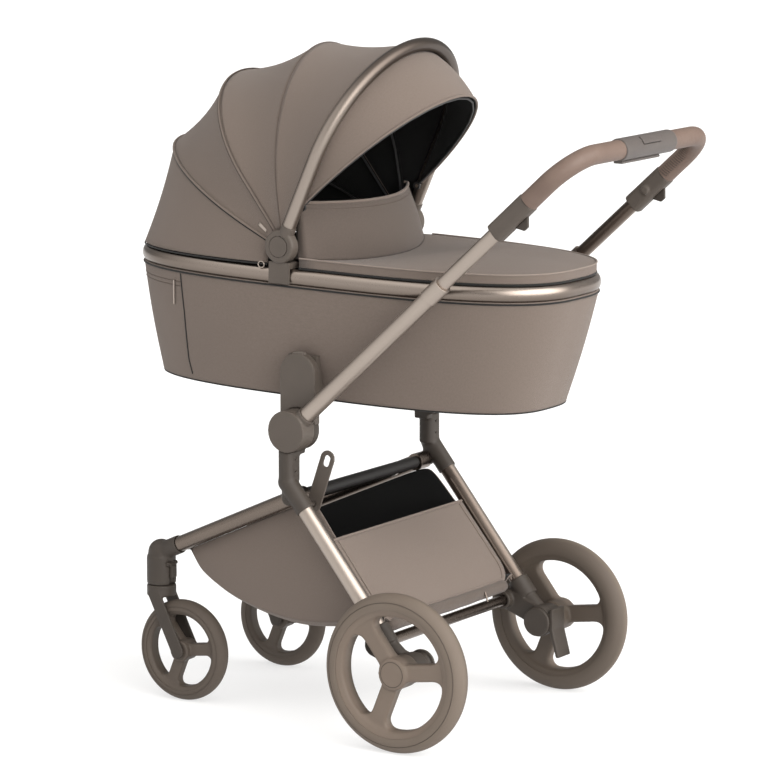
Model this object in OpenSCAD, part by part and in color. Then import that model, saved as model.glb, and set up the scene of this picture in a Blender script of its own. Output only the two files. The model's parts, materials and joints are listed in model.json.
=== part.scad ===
// Bassinet pram: a folding four-wheel chassis with a telescopic handle that carries a cloth cot with a
// folding hood. X runs to the rear, Y to the right and Z up. The parts are laid out from the rear axle
// and the whole pram is then moved so that its origin is under the middle of its outline.

/* [Wheels] */
// Outer diameter of a rear tyre
rear_wheel_d = 285; // [270:1:300]
// Width of a rear tyre
rear_tyre_w = 44; // [38:1:46]
// Distance between the middles of the rear tyres
rear_track = 563; // [560:1:600]
// Radial depth of a rear tyre and its rim ring
rear_ring_depth = 40; // [36:1:46]
// Width of a rear spoke
rear_spoke_w = 31; // [24:1:38]
// Diameter of a rear hub
rear_hub_d = 58; // [48:1:66]
// Outer diameter of a front tyre
front_wheel_d = 188; // [176:1:194]
// Width of a front tyre
front_tyre_w = 35; // [30:1:36]
// Distance between the middles of the front tyres
front_track = 324; // [300:1:340]
// Radial depth of a front tyre and its rim ring
front_ring_depth = 27; // [24:1:32]
// Width of a front spoke
front_spoke_w = 23; // [18:1:28]
// Diameter of a front hub
front_hub_d = 40; // [34:1:46]
// Distance from the front axle to the rear axle with the casters trailing
wheelbase = 538; // [520:1:560]
// Number of spokes in a wheel
spoke_count = 3; // [3:1:5]
// Diameter of a rear stub axle
rear_axle_d = 12; // [10:1:14]
// Diameter of a front axle
front_axle_d = 10; // [8:1:12]

/* [Casters] */
// Distance that a front axle trails behind its swivel axis
caster_trail = 51; // [46:1:56]
// Diameter of a caster housing
caster_d = 54; // [50:1:58]
// Height of the swivel joint above the front tyre
swivel_rise = 25; // [22:1:32]
// Height of the front tube's axis above the swivel joint
knuckle_h = 59; // [54:1:66]
// Diameter of a caster stem
stem_d = 16; // [12:1:20]
// Width of a fork blade
blade_w = 26; // [22:1:28]
// Thickness of a fork blade
blade_t = 6; // [5:0.5:7]

/* [Chassis] */
// Diameter of the legs and front tubes
frame_tube_d = 29; // [26:1:30]
// Wall of all tubes
tube_wall = 2; // [1.5:0.1:2.5]
// Distance between the handle tubes, and between the rear legs
leg_spread = 478; // [478:1:488]
// Distance of the handle hinge in front of the rear axle
hinge_ahead = 248; // [238:1:258]
// Height of the handle hinge
hinge_z = 543; // [535:1:550]
// Diameter of the handle hinge
hinge_d = 75; // [70:1:78]
// Distance of the elbow's bend in front of the rear axle
bend_ahead = 256; // [251:1:261]
// Height of the elbow's bend
bend_z = 449; // [444:1:454]
// Distance of the front pivot in front of the rear axle
pivot_ahead = 258; // [254:1:262]
// Height of the front pivot
pivot_z = 418; // [414:1:420]
// Distance between the middles of the front tubes at the pivot
pivot_spread = 408; // [404:1:412]
// Diameter of the front pivot shaft
pivot_shaft_d = 12; // [10:1:14]
// Diameter of the padded carry bar
carry_bar_d = 22; // [18:1:24]
// Diameter of the rear cross tube
cross_tube_d = 20; // [16:1:22]
// Distance of the rear cross tube in front of the rear axle
cross_tube_ahead = 78; // [74:1:84]
// Height of the rear cross tube above the rear axle
cross_tube_rise = 30; // [26:1:34]

/* [Handle] */
// Slope of the handle tubes
handle_angle = 42.2; // [38:0.1:46]
// Distance from the hinge to the end of a lower tube
lower_tube_end = 399; // [380:1:410]
// Diameter of the telescoping bar
bar_d = 25; // [22:1:25]
// Length of the bar inside the lower tubes
bar_overlap = 99; // [80:1:110]
// Distance from the upper end of a handle sleeve to the middle of the cross bar
grip_leg = 117; // [112:1:125]
// Length of a handle sleeve
sleeve_len = 88; // [80:1:92]
// Distance from the hinge to the middle of the cross bar
handle_reach = 773; // [768:1:785]
// Bend radius of the handle's corners
handle_corner_r = 70; // [60:1:78]
// Diameter of the stitched grips
grip_d = 35; // [32:1:38]
// Length of the button housing
housing_len = 176; // [150:1:190]
// Diameter of the button housing
housing_d = 40; // [39:0.5:44]

/* [Cot] */
// Length of the cot over its rim
cot_l = 892; // [870:1:910]
// Width of the cot over its rim
cot_w = 430; // [420:1:432]
// Height of the rim band
rim_h = 30; // [24:1:34]
// Thickness of the rim band
rim_t = 14; // [10:1:16]
// Height of the cot from its base to the top of the rim
cot_h = 234; // [227:1:240]
// Height of the cot's base above the handle hinge
cot_rise = 49; // [45:1:52]
// Length of the cot's base
base_l = 798; // [780:1:820]
// Width of the cot's base
base_w = 358; // [350:1:364]
// Distance of the cot's middle in front of the rear axle
cot_ahead = 244; // [238:1:250]
// Tilt of the cot, rear end down
cot_tilt = 1.15; // [0:0.05:1.5]
// Squareness of the cot's outline, 2 being an ellipse
cot_squareness = 2.85; // [2.4:0.05:3.2]
// Thickness of the tub's padded wall
tub_wall = 7; // [4:0.5:10]
// Thickness of the mattress
mattress_h = 46; // [30:1:60]
// Height of the apron's side band
apron_band_h = 14; // [10:1:20]
// Crown of the apron above its band
apron_crown = 19; // [16:1:30]
// Height of the wind flap above the rim
flap_h = 116; // [100:1:122]

/* [Hood] */
// Distance of the hood's axis in front of the cot's middle
hood_ahead = 47.5; // [42:0.5:54]
// Height of the hood's axis above the rim
hood_rise = 39; // [36:0.5:42]
// Diameter of the main bow's tube
bow_d = 24; // [20:1:26]
// Reach of the main bow from the hood's axis
bow_reach = 383; // [375:1:392]
// Angle of the main bow
bow_angle = 67; // [63:0.5:72]
// Reach of the rear rib's cloth
rib3_reach = 347; // [340:1:354]
// Angle of the rear rib
rib3_angle = 98.5; // [94:0.5:102]
// Reach of the middle rib's cloth
rib2_reach = 360; // [352:1:366]
// Angle of the middle rib
rib2_angle = 128.5; // [124:0.5:132]
// Reach of the front rib's cloth
rib1_reach = 359; // [352:1:368]
// Angle of the front rib
rib1_angle = 155; // [150:0.5:158]
// Distance of the front rib's plane in front of the hood's axis
rib1_setback = 25; // [18:1:30]
// Diameter of the rib wires
rib_d = 6; // [4:0.5:7]
// Diameter of the bow's end hubs
hub_disc_d = 58; // [54:1:60]
// Thickness of the hood's cloth
cloth_t = 3; // [2:0.25:4]
// Reach of the visor's edge from its pivot
visor_reach = 286; // [276:1:290]
// Angle of the visor
visor_angle = 43.5; // [38:0.5:48]
// Distance of the visor's pivot from the hood's axis along the bow
visor_pivot_r = 76; // [70:1:84]

/* [Basket] */
// Depth of the basket below the front pivot
basket_depth = 242; // [232:1:246]
// Height of the rear panel above the ground
basket_lip_z = 348; // [335:1:356]
// Wall of the basket's cloth
basket_wall = 4; // [3:0.5:6]

/* [Hidden] */
$fn = 64;

// Clearances and the overrun of every cut
overrun = 1;
run_gap = 0.05;
seat_gap = 0.2;
soft_gap = 0.5;
plate_gap = 0.3;

// Steps in an arc of an outline
arc_count = 6;
oval_count = 56;

// Colours
metal_colour = "#9c8c7e";
dark_colour = "#5a504a";
black_colour = "#23211f";
cloth_colour = "#7d7066";
grip_colour = "#a4826a";
tyre_colour = "#857566";

// Main places, seen from the rear axle
hinge_x = -hinge_ahead;
cot_floor_z = hinge_z + cot_rise;
tube_r = frame_tube_d / 2;
side_y = leg_spread / 2;
rear_axle_z = rear_wheel_d / 2;
front_axle_z = front_wheel_d / 2;
swivel_x = -wheelbase - caster_trail;
swivel_z = front_wheel_d + swivel_rise;
front_y = front_track / 2;
rear_y = rear_track / 2;
pivot_y = pivot_spread / 2;
pivot = [-pivot_ahead, pivot_y, pivot_z];
knuckle = [swivel_x, front_y, swivel_z + knuckle_h];
front_tube_dir = (knuckle - pivot) / norm(knuckle - pivot);
front_tube_len = norm(knuckle - pivot);

// Elbow: neck, leg socket and pivot boss
neck_w = 30;
neck_t = 40;
neck_corner = 12;
plate_drop = 8;
neck_in = 4;
neck_y = side_y - neck_in;
inner_half_t = 17;
hub_out = 20;
hub_in = 18;
hub_outer_y = side_y + hub_out;
hub_gap_y = side_y - hub_in;
socket_wall = 2.8;
socket_r = tube_r + socket_wall;
socket_len = 62;
bend_proud = 0.7;
bend_r = socket_r + bend_proud;
screw_r = 2.5;
screw_depth = 12;
screw_low = 19;
screw_gap = 22;
bend = [-bend_ahead, side_y, bend_z];
leg_aim_drop = 15.5;
leg_aim = [0, side_y, rear_axle_z - leg_aim_drop];
leg_dir = (leg_aim - bend) / norm(leg_aim - bend);
leg_len = norm(leg_aim - bend);
leg_start = 34;
rail_gap = 20;
leg_end_gap = 80;
leg_end = leg_len - leg_end_gap;
keder_w = 9;
keder_out = 3;
hinge_pin_d = 16;
boss_r = 13;
arm_r = 12;
eye_r = 16;
eye_half = 17;
eye_share = 1.5;
pivot_boss_y = pivot_y + eye_half + plate_gap;
hook_pin_d = 10;
hook_along = 53;
hook_t = 4;
hook_inset = 34;
hook_y = side_y - hook_inset;
hook_len = 90;
hook_w = 29;
hook_slot_w = 12;
hook_slot_l = 22;
hook_angle = 71;

// Axle housing
barrel_r = 27;
barrel_reach = 86;
wheel_gap = 9;
barrel_in_y = rear_y - barrel_reach;
barrel_out_y = rear_y - rear_tyre_w / 2 - wheel_gap;
collar_seat_r = 21;
collar_seat_len = 18;
end_cap_t = 6;
lug_t = 16;
lug_r = 19;
lug_collar = 14;
lug_collar_r = 16;
lug_y = barrel_in_y + end_cap_t + collar_seat_len + lug_t;
sleeve_depth = 25;
housing_wall = 4.7;
housing_r = tube_r + housing_wall;
housing_in = 5;
housing_share = 1.5;
housing_arm_share = 0.71;
cross_tube_at = [-cross_tube_ahead, 0, rear_axle_z + cross_tube_rise];
hub_cap_t = 9;
axle_back = 5;
axle_reach = rear_y + rear_tyre_w / 2 - hub_cap_t - axle_back;

// Brake pedal
pedal_ring_r = 28.5;
pedal_w = 44;
pedal_t = 7;
pedal_up = 26;
pedal_down = 64;
pedal_kick = 14;

// Cot adapter
adapter_w = 74;
adapter_rise = 87;
adapter_top_z = cot_floor_z + adapter_rise;
adapter_out_y = hub_gap_y - plate_gap;
adapter_in_y = adapter_out_y - inner_half_t;
ledge_t = 17;
ledge_w = 56;
ledge_h = 26;
ledge_rise = 6;
ledge_top_z = cot_floor_z + ledge_rise;
tongue_w = 28;
tongue_t = 8;
tongue_h = 24;
button_w = 24;
button_t = 10;
button_h = 12;
button_up = 4;

// Handle
bar_r = bar_d / 2;
lower_tube_r = bar_r + run_gap + tube_wall;
hub_socket_wall = 2.6;
hub_socket_r = lower_tube_r + hub_socket_wall;
hub_socket_proud = 8.5;
hub_socket_len = hinge_d / 2 + hub_socket_proud;
lower_tube_start = hinge_d / 3;
collar_len = 40;
collar_over = 14;
collar_wall = 1.8;
collar_r = lower_tube_r + collar_wall;
corner_at = handle_reach - handle_corner_r;
sleeve_start = handle_reach - grip_leg - sleeve_len;
sleeve_w = 31;
sleeve_t = 36;
sleeve_corner = 11;
sleeve_boss_r = 8;
sleeve_boss_h = 5;
fin_l = 20;
fin_t = 6;
fin_h = 14;
fin_back = 6;
fin_foot_share = 1.6;
fin_at = sleeve_start + sleeve_len / 2 - fin_back;
press_l = 62;
press_w = 16;
press_up = 1.5;
press_down = 5.4;
press_floor = 1.2;

// Casters
fork_clear = 3;
blade_y = front_tyre_w / 2 + fork_clear + blade_t / 2;
knuckle_share = 0.9;
crown_h = 22;
blade_drop = 16;
stem_h = 36;
front_hub_half = front_tyre_w / 2 + fork_clear / 2;
lever_w = 15;
lever_l = 26;
lever_t = 5;
lever_pin_r = 4;
lever_rise = 40;
lever_z = swivel_z + lever_rise;

// Cot outline
cot_pivot_rise = 46;
cot_pivot_z = cot_floor_z + cot_pivot_rise;
rim_top_z = cot_floor_z + cot_h;
rim_low_z = rim_top_z - rim_h;
rim_a = cot_l / 2;
rim_b = cot_w / 2;
base_a = base_l / 2;
base_b = base_w / 2;
base_setback = -9;
base_round = 16;
base_corner_share = 0.3;
floor_t = 12;
rim_edge = 4;
tub_inset = 2;
bracket_w = 60;
bracket_rise = 82;
bracket_top_z = cot_floor_z + bracket_rise;
mattress_gap = 3;
mattress_round = 14;
// Rings of the mattress: share of its rounding by which a ring is drawn in, and share of its height
mattress_shares = [[0.5, 0], [0, 0.3], [0, 0.6], [0.5, 0.82], [3, 0.96], [7, 1]];
apron_inset = 8;
apron_front = -12;
apron_dip = 110;
flap_dip = 55;
apron_t = 4;
flap_t = 5;
flap_bulge = 6;
flap_share = 0.9;
flap_head_share = 0.92;
flap_end_share = 0.94;
flap_count = 4;

// Hood
axis_x = -hood_ahead;
axis_z = rim_top_z + hood_rise;
hub_disc_t = 16;
bow_inset = 5;
bow_b = rim_b - bow_inset;
bow_leg = bow_reach - bow_b;
hub_in_y = bow_b - hub_disc_t / 2;
eye_t = 4.6;
eye_pitch = 5;
rib_in = 4;
run_in = 0.9;
rib_eye_r = 12;
hood_pin_d = 12;
cap_r = 18.5;
cap_t = 4;
mount_t = 9;
mount_w = 44;
mount_foot_h = 11;
cheek_t = 2.5;
cheek_up = 3;
mount_in_y = hub_in_y - plate_gap - rib_in - 3 * eye_pitch - mount_t;
cloth_gap = 4;
cloth_start = hub_disc_d / 2 + cloth_gap;
visor_gap = 6;
visor_b = bow_b - bow_d / 2 - visor_gap;
visor_wire_d = 4;
visor_eye_r = 7;
visor_pin_r = 3;
visor_bore_r = visor_pin_r + run_gap;
visor_eye_t = 4;

// Places of the origin
outline_front = -cot_ahead - rim_a * cos(cot_tilt) + (rim_low_z - cot_pivot_z) * sin(cot_tilt);
outline_rear = hinge_x + handle_reach * cos(handle_angle) + housing_d / 2;
origin_x = -(outline_front + outline_rear) / 2;

// Outline of a rectangle with round corners
function round_rect(w, h, r) = [
  for (c = [[1, 1, 0], [-1, 1, 90], [-1, -1, 180], [1, -1, 270]])
    for (i = [0:arc_count])
      let (a = c[2] + 90 * i / arc_count)
      [c[0] * (w / 2 - r) + r * cos(a), c[1] * (h / 2 - r) + r * sin(a)]
];

// One point of an oval of half sizes a and b at angle t
function oval_point(a, b, t) =
  [
    a * sign(cos(t)) * pow(abs(cos(t)), 2 / cot_squareness),
    b * sign(sin(t)) * pow(abs(sin(t)), 2 / cot_squareness)
  ];

// A level oval ring at height z, moved along X by dx
function oval_ring(a, b, z, dx = 0) = [
  for (i = [0:oval_count - 1])
    let (p = oval_point(a, b, 360 * i / oval_count))
    [p[0] + dx, p[1], z]
];

// Half width of an oval at a distance x from its middle
function oval_half(a, b, x) =
  b * pow(max(0, 1 - pow(abs(x) / a, cot_squareness)), 1 / cot_squareness);

// Points of an arc round c from angle a to angle b
function arc(c, r, a, b) = [
  for (i = [0:arc_count])
    let (t = a + (b - a) * i / arc_count)
    [c[0] + r * cos(t), c[1] + r * sin(t)]
];

// Edge of a spoke that lies along X, rounded into the hub and into the ring
function spoke_edge(ring_r, hub_r, w, outer_r, inner_r) =
  let (
    outer_x = sqrt(pow(ring_r - outer_r, 2) - pow(w / 2 + outer_r, 2)),
    inner_x = sqrt(pow(hub_r + inner_r, 2) - pow(w / 2 + inner_r, 2)),
    outer_c = [outer_x, w / 2 + outer_r],
    inner_c = [inner_x, w / 2 + inner_r]
  )
  concat(
    arc(inner_c, inner_r, atan2(inner_c[1], inner_c[0]) + 180, 270),
    arc(outer_c, outer_r, -90, atan2(outer_c[1], outer_c[0]))
  );

// Outline of a spoke along X, from inside the hub to inside the ring
function spoke(ring_r, hub_r, w, outer_r, inner_r, sink) =
  let (
    half = spoke_edge(ring_r, hub_r, w, outer_r, inner_r),
    last = half[len(half) - 1],
    a = atan2(last[1], last[0])
  )
  concat(
    half,
    arc([0, 0], ring_r + sink, a, -a),
    [for (i = [len(half) - 1:-1:0]) [half[i][0], -half[i][1]]]
  );

// Skins a list of rings with triangles. A loop joins the last ring to the first one.
module skin(rings, loop = false) {
  n = len(rings);
  m = len(rings[0]);
  sides = [
    for (i = [0:n - (loop ? 1 : 2)])
      for (j = [0:m - 1])
        let (
          k = (i + 1) % n,
          a = i * m + j,
          b = i * m + (j + 1) % m,
          c = k * m + (j + 1) % m,
          d = k * m + j
        )
        for (f = [[a, c, b], [a, d, c]]) f
  ];
  low = [for (j = [0:m - 1]) j];
  high = [for (j = [m - 1:-1:0]) (n - 1) * m + j];
  faces = loop ? sides : concat(sides, [low, high]);
  polyhedron(points = [for (r = rings) each r], faces = faces, convexity = 8);
}

// A sheet of cloth between two like grids of points, the outer one first
module sheet(outer, inner) {
  nu = len(outer);
  nv = len(outer[0]);
  far = nu * nv;
  quads = concat(
    [
      for (u = [0:nu - 2])
        for (v = [0:nv - 2])
          [u * nv + v, (u + 1) * nv + v, (u + 1) * nv + v + 1, u * nv + v + 1]
    ],
    [
      for (u = [0:nu - 2])
        for (v = [0:nv - 2])
          [far + u * nv + v, far + u * nv + v + 1, far + (u + 1) * nv + v + 1, far + (u + 1) * nv + v]
    ],
    [for (u = [0:nu - 2]) [u * nv, far + u * nv, far + (u + 1) * nv, (u + 1) * nv]],
    [
      for (u = [0:nu - 2])
        let (v = nv - 1)
        [u * nv + v, (u + 1) * nv + v, far + (u + 1) * nv + v, far + u * nv + v]
    ],
    [for (v = [0:nv - 2]) [v, v + 1, far + v + 1, far + v]],
    [
      for (v = [0:nv - 2])
        let (u = nu - 1)
        [u * nv + v, far + u * nv + v, far + u * nv + v + 1, u * nv + v + 1]
    ]
  );
  tris = [for (q = quads) for (f = [[q[0], q[1], q[2]], [q[0], q[2], q[3]]]) f];
  points = concat([for (r = outer) each r], [for (r = inner) each r]);
  polyhedron(points = points, faces = tris, convexity = 8);
}

// A round bar from p to q
module rod(p, q, r) {
  d = q - p;
  translate(p)
    rotate([0, acos(d[2] / norm(d)), atan2(d[1], d[0])])
      cylinder(h = norm(d), r = r);
}

// A tube from p to q
module pipe(p, q, r, wall) {
  u = (q - p) / norm(q - p);
  difference() {
    rod(p, q, r);
    rod(p - overrun * u, q + overrun * u, r - wall);
  }
}

// A round bar along Y at [x, z] from y to y_end
module cross_rod(x, z, y, y_end, r) {
  translate([x, y, z])
    rotate([-90, 0, 0])
      cylinder(h = y_end - y, r = r);
}

// A flat link with round ends in the XZ plane from p to q
module link(p, q, y, t, w) {
  d = q - p;
  translate([p[0], y, p[1]])
    rotate([0, -atan2(d[1], d[0]), 0])
      rotate([-90, 0, 0]) {
        cylinder(h = t, d = w);
        translate([norm(d), 0, 0])
          cylinder(h = t, d = w);
        translate([0, -w / 2, 0])
          cube([norm(d), w, t]);
      }
}

// Moves the pram's layout from the rear axle to its origin
module pram() {
  translate([origin_x, 0, 0])
    children();
}

// The right side, or its mirror on the left
module sided(side) {
  pram()
    mirror([0, side < 0 ? 1 : 0, 0])
      children();
}

// Both sides at once
module pair() {
  sided(1)
    children();
  sided(-1)
    children();
}

// The cot's own frame, tilted on its adapters, with x from its middle and z from the ground
module in_cot() {
  translate([-cot_ahead, 0, cot_pivot_z])
    rotate([0, cot_tilt, 0])
      translate([0, 0, -cot_pivot_z])
        children();
}

// The handle's frame: Z runs up the tubes from the hinge, X points to their underside
module in_handle() {
  translate([hinge_x, 0, hinge_z])
    rotate([0, 90 - handle_angle, 0])
      children();
}

// A quarter bend of a handle part at the right corner
module handle_bend(r, wall) {
  translate([0, side_y - handle_corner_r, corner_at])
    rotate([90, 0, 90])
      rotate_extrude(angle = 90)
        translate([handle_corner_r, 0])
          difference() {
            circle(r = r);
            circle(r = r - wall);
          }
}

// Rear leg: a tube with a rail for the basket's cloth on its inner rear side
module rear_leg(side) {
  p = bend + leg_start * leg_dir;
  q = bend + leg_end * leg_dir;
  rail_p = bend + (socket_len + rail_gap) * leg_dir;
  rail_q = q - sleeve_depth * leg_dir;
  color(metal_colour)
    sided(side)
      difference() {
        union() {
          rod(p, q, tube_r);
          translate(rail_p - [0, tube_r, 0])
            rotate([0, 90 + atan2(-leg_dir[2], leg_dir[0]), 0])
              translate([-keder_w / 2, -keder_out, 0])
                cube([keder_w, 2 * keder_out, norm(rail_q - rail_p)]);
        }
        rod(p - overrun * leg_dir, q + overrun * leg_dir, tube_r - tube_wall);
      }
}

// Elbow: carries the inner half of the handle hinge, the leg and the front pivot shaft
module elbow(side) {
  color(dark_colour)
    sided(side) {
      difference() {
        union() {
          cross_rod(hinge_x, hinge_z, adapter_in_y, adapter_out_y, hinge_d / 2);
          translate([-bend_ahead, neck_y, bend_z])
            linear_extrude(hinge_z - bend_z)
              polygon(round_rect(neck_w, neck_t, neck_corner));
          translate([-bend_ahead - neck_w / 2, adapter_in_y, hinge_z - hinge_d / 2 - plate_drop])
            cube([neck_w, inner_half_t, hinge_d / 2 + plate_drop]);
          translate(bend)
            sphere(r = bend_r);
          rod(bend, bend + socket_len * leg_dir, socket_r);
          cross_rod(-pivot_ahead, pivot_z, pivot_boss_y, side_y, boss_r);
          rod([-pivot_ahead, side_y - boss_r / 4, pivot_z], bend - [0, boss_r / 4, 0], arm_r);
        }
        cross_rod(hinge_x, hinge_z, adapter_out_y, side_y + neck_t, hinge_d / 2 + plate_gap);
        rod(bend + leg_start * leg_dir, bend + (socket_len + overrun) * leg_dir, tube_r + seat_gap);
        cross_rod(-pivot_ahead, pivot_z, pivot_y, pivot_boss_y + boss_r, pivot_shaft_d / 2 + seat_gap);
        for (rise = [screw_low, screw_low + screw_gap])
          translate([-bend_ahead + neck_w / 2 - screw_depth, neck_y, bend_z + rise])
            rotate([0, 90, 0])
              cylinder(h = screw_depth + overrun, r = screw_r);
      }
      cross_rod(hinge_x, hinge_z, adapter_in_y, hub_outer_y - tube_wall, hinge_pin_d / 2);
      if (side < 0)
        hook_pin();
    }
}

// Middle of the fold hook's pin on the left elbow
hook_at = bend + hook_along * leg_dir;

// Pin of the fold hook
module hook_pin() {
  end_y = hook_at[1] - tube_r - seat_gap - overrun;
  cross_rod(hook_at[0], hook_at[2], hook_y - hook_t, end_y, hook_pin_d / 2);
}

// Fold hook: a tongue with a slot that catches the folded handle
module fold_hook() {
  tip = [hook_at[0] + hook_len * cos(hook_angle), hook_at[2] + hook_len * sin(hook_angle)];
  from = [hook_at[0], hook_at[2]];
  slot_dir = [cos(hook_angle), sin(hook_angle)];
  slot_p = tip - (hook_slot_l - hook_slot_w) * slot_dir;
  color(dark_colour)
    sided(-1)
      difference() {
        link(from, tip, hook_y - hook_t / 2, hook_t, hook_w);
        link(slot_p, tip, hook_y - hook_t, 2 * hook_t, hook_slot_w);
        cross_rod(hook_at[0], hook_at[2], hook_y - hook_t, hook_y + hook_t, hook_pin_d / 2 + run_gap);
      }
}

// Axle housing: barrel, leg socket, cross tube lug and stub axle
module axle_housing(side) {
  leg_foot = bend + (leg_end - sleeve_depth) * leg_dir;
  arm_end = [0, side_y - housing_in, rear_axle_z];
  color(dark_colour)
    sided(side) {
      difference() {
        union() {
          cross_rod(0, rear_axle_z, barrel_in_y, barrel_in_y + end_cap_t, barrel_r);
          cross_rod(0, rear_axle_z, barrel_in_y, lug_y, collar_seat_r);
          cross_rod(0, rear_axle_z, lug_y - lug_t, barrel_out_y, barrel_r);
          rod(leg_foot, leg_foot + housing_share * sleeve_depth * leg_dir, housing_r);
          rod(leg_foot + sleeve_depth * leg_dir, arm_end, housing_r * housing_arm_share);
          cross_rod(
            -cross_tube_ahead, cross_tube_at[2], lug_y - lug_t - lug_collar, lug_y - lug_t / 2, lug_collar_r
          );
          link(
            [0, rear_axle_z], [-cross_tube_ahead, cross_tube_at[2]], lug_y - lug_t, lug_t, 2 * lug_r
          );
        }
        rod(leg_foot - overrun * leg_dir, leg_foot + (sleeve_depth + seat_gap) * leg_dir, tube_r + seat_gap);
        cross_rod(
          -cross_tube_ahead, cross_tube_at[2], lug_y - lug_t - lug_collar - overrun, lug_y - lug_t / 4,
          cross_tube_d / 2 + seat_gap
        );
      }
      cross_rod(0, rear_axle_z, barrel_in_y, axle_reach, rear_axle_d / 2);
    }
}

// Rear cross tube between the two housings
module rear_cross_tube() {
  half = lug_y - lug_t / 4 - seat_gap;
  color(metal_colour)
    pram()
      difference() {
        cross_rod(-cross_tube_ahead, cross_tube_at[2], -half, half, cross_tube_d / 2);
        cross_rod(
          -cross_tube_ahead, cross_tube_at[2], -half - overrun, half + overrun, cross_tube_d / 2 - tube_wall
        );
      }
}

// Brake pedal: a ring on the right housing with a tread behind the axle
module brake_pedal() {
  ring_y = barrel_in_y + end_cap_t + plate_gap;
  ring_t = collar_seat_len - 2 * plate_gap;
  tread = [
    [pedal_ring_r - pedal_t / 2, pedal_up],
    [pedal_ring_r + pedal_t / 2, pedal_up],
    [pedal_ring_r + pedal_t / 2, -pedal_up / 2],
    [pedal_ring_r + pedal_t / 2 + pedal_kick, -pedal_down],
    [pedal_ring_r - pedal_t / 2 + pedal_kick, -pedal_down],
    [pedal_ring_r - pedal_t / 2, -pedal_up / 2]
  ];
  color(dark_colour)
    sided(1)
      difference() {
        union() {
          cross_rod(0, rear_axle_z, ring_y, ring_y + ring_t, pedal_ring_r);
          translate([0, ring_y + pedal_w, rear_axle_z])
            rotate([90, 0, 0])
              linear_extrude(pedal_w)
                polygon(tread);
        }
        cross_rod(0, rear_axle_z, ring_y - overrun, ring_y + pedal_w + overrun, collar_seat_r + run_gap);
        cross_rod(
          0, rear_axle_z, ring_y + ring_t, ring_y + pedal_w + overrun, barrel_r + plate_gap
        );
      }
}

// Cot adapter: a saddle on the hinge with a ledge whose pocket takes the cot's tongue
module adapter(side) {
  seat_y = adapter_in_y - ledge_t;
  color(dark_colour)
    sided(side)
      difference() {
        union() {
          link(
            [hinge_x, hinge_z], [hinge_x, adapter_top_z - adapter_w / 2], adapter_in_y, inner_half_t,
            adapter_w
          );
          translate([hinge_x - ledge_w / 2, seat_y, ledge_top_z - ledge_h])
            cube([ledge_w, ledge_t + inner_half_t, ledge_h]);
        }
        cross_rod(
          hinge_x, hinge_z, adapter_in_y - overrun, adapter_out_y + overrun, hinge_d / 2 + seat_gap
        );
        translate([hinge_x - adapter_w, adapter_in_y - overrun, hinge_z - adapter_w])
          cube([2 * adapter_w, inner_half_t + 2 * overrun, adapter_w]);
        translate([
          hinge_x - tongue_w / 2 - plate_gap, tongue_y - plate_gap, ledge_top_z - ledge_h - overrun
        ])
          cube([tongue_w + 2 * plate_gap, tongue_t + 2 * plate_gap, ledge_h + 2 * overrun]);
        translate([hinge_x - button_w / 2 - plate_gap, button_y - plate_gap, adapter_top_z - button_h])
          cube([button_w + 2 * plate_gap, button_t + 2 * plate_gap, button_h + overrun]);
      }
}

// Inner faces of the cot's tongue and of the release button
tongue_y = adapter_in_y - ledge_t / 2 - tongue_t / 2;
button_y = adapter_in_y + inner_half_t / 2 - button_t / 2;

// Release button on top of an adapter, with a round top
module adapter_button(side) {
  foot_z = adapter_top_z - button_h + button_up + plate_gap;
  color(black_colour)
    sided(side)
      intersection() {
        translate([hinge_x - button_w / 2, button_y, foot_z])
          cube([button_w, button_t, button_h]);
        cross_rod(
          hinge_x, adapter_top_z - adapter_w / 2, button_y - overrun, button_y + button_t + overrun,
          adapter_w / 2 + button_up / 2
        );
      }
}

// Front pivot shaft through both front tubes, seated in the elbows
module pivot_shaft() {
  half = pivot_boss_y + boss_r - seat_gap;
  color(metal_colour)
    pram()
      cross_rod(-pivot_ahead, pivot_z, -half, half, pivot_shaft_d / 2);
}

// Padded bar round the pivot shaft
module carry_bar() {
  half = pivot_y - eye_half - plate_gap;
  color(black_colour)
    pram()
      difference() {
        cross_rod(-pivot_ahead, pivot_z, -half, half, carry_bar_d / 2);
        cross_rod(
          -pivot_ahead, pivot_z, -half - overrun, half + overrun, pivot_shaft_d / 2 + seat_gap
        );
      }
}

// Basket: a cloth trough hung below the front tubes and closed by a panel between the rear legs
basket_low_z = pivot_z - basket_depth;
basket_rear = bend + (leg_end - sleeve_depth) * leg_dir;
basket_drop = 1.5;
basket_clear = tube_r + basket_drop;
basket_front_share = 0.83;
basket_peak_share = 0.12;
// Points of the basket's floor: share of its length, share of its depth, and whether the wall moves it back
basket_floor_shares = [[0.08, 0.56, 1], [0.27, 0.19, 0], [0.52, 0, 0], [0.72, 0.06, 0]];
lip_back = bend[0] + (bend_z - basket_lip_z) / (bend_z - leg_aim[2]) * bend_ahead;
basket_front_in = 2;
basket_front_half = front_y - basket_front_in;
basket_rear_half = side_y - tube_r - keder_out - plate_gap;

// Height of the basket's top edge below a front tube at x
function basket_top(x) =
  pivot_z + (x + pivot_ahead) * front_tube_dir[2] / front_tube_dir[0] - basket_clear / abs(front_tube_dir[0]);

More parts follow.
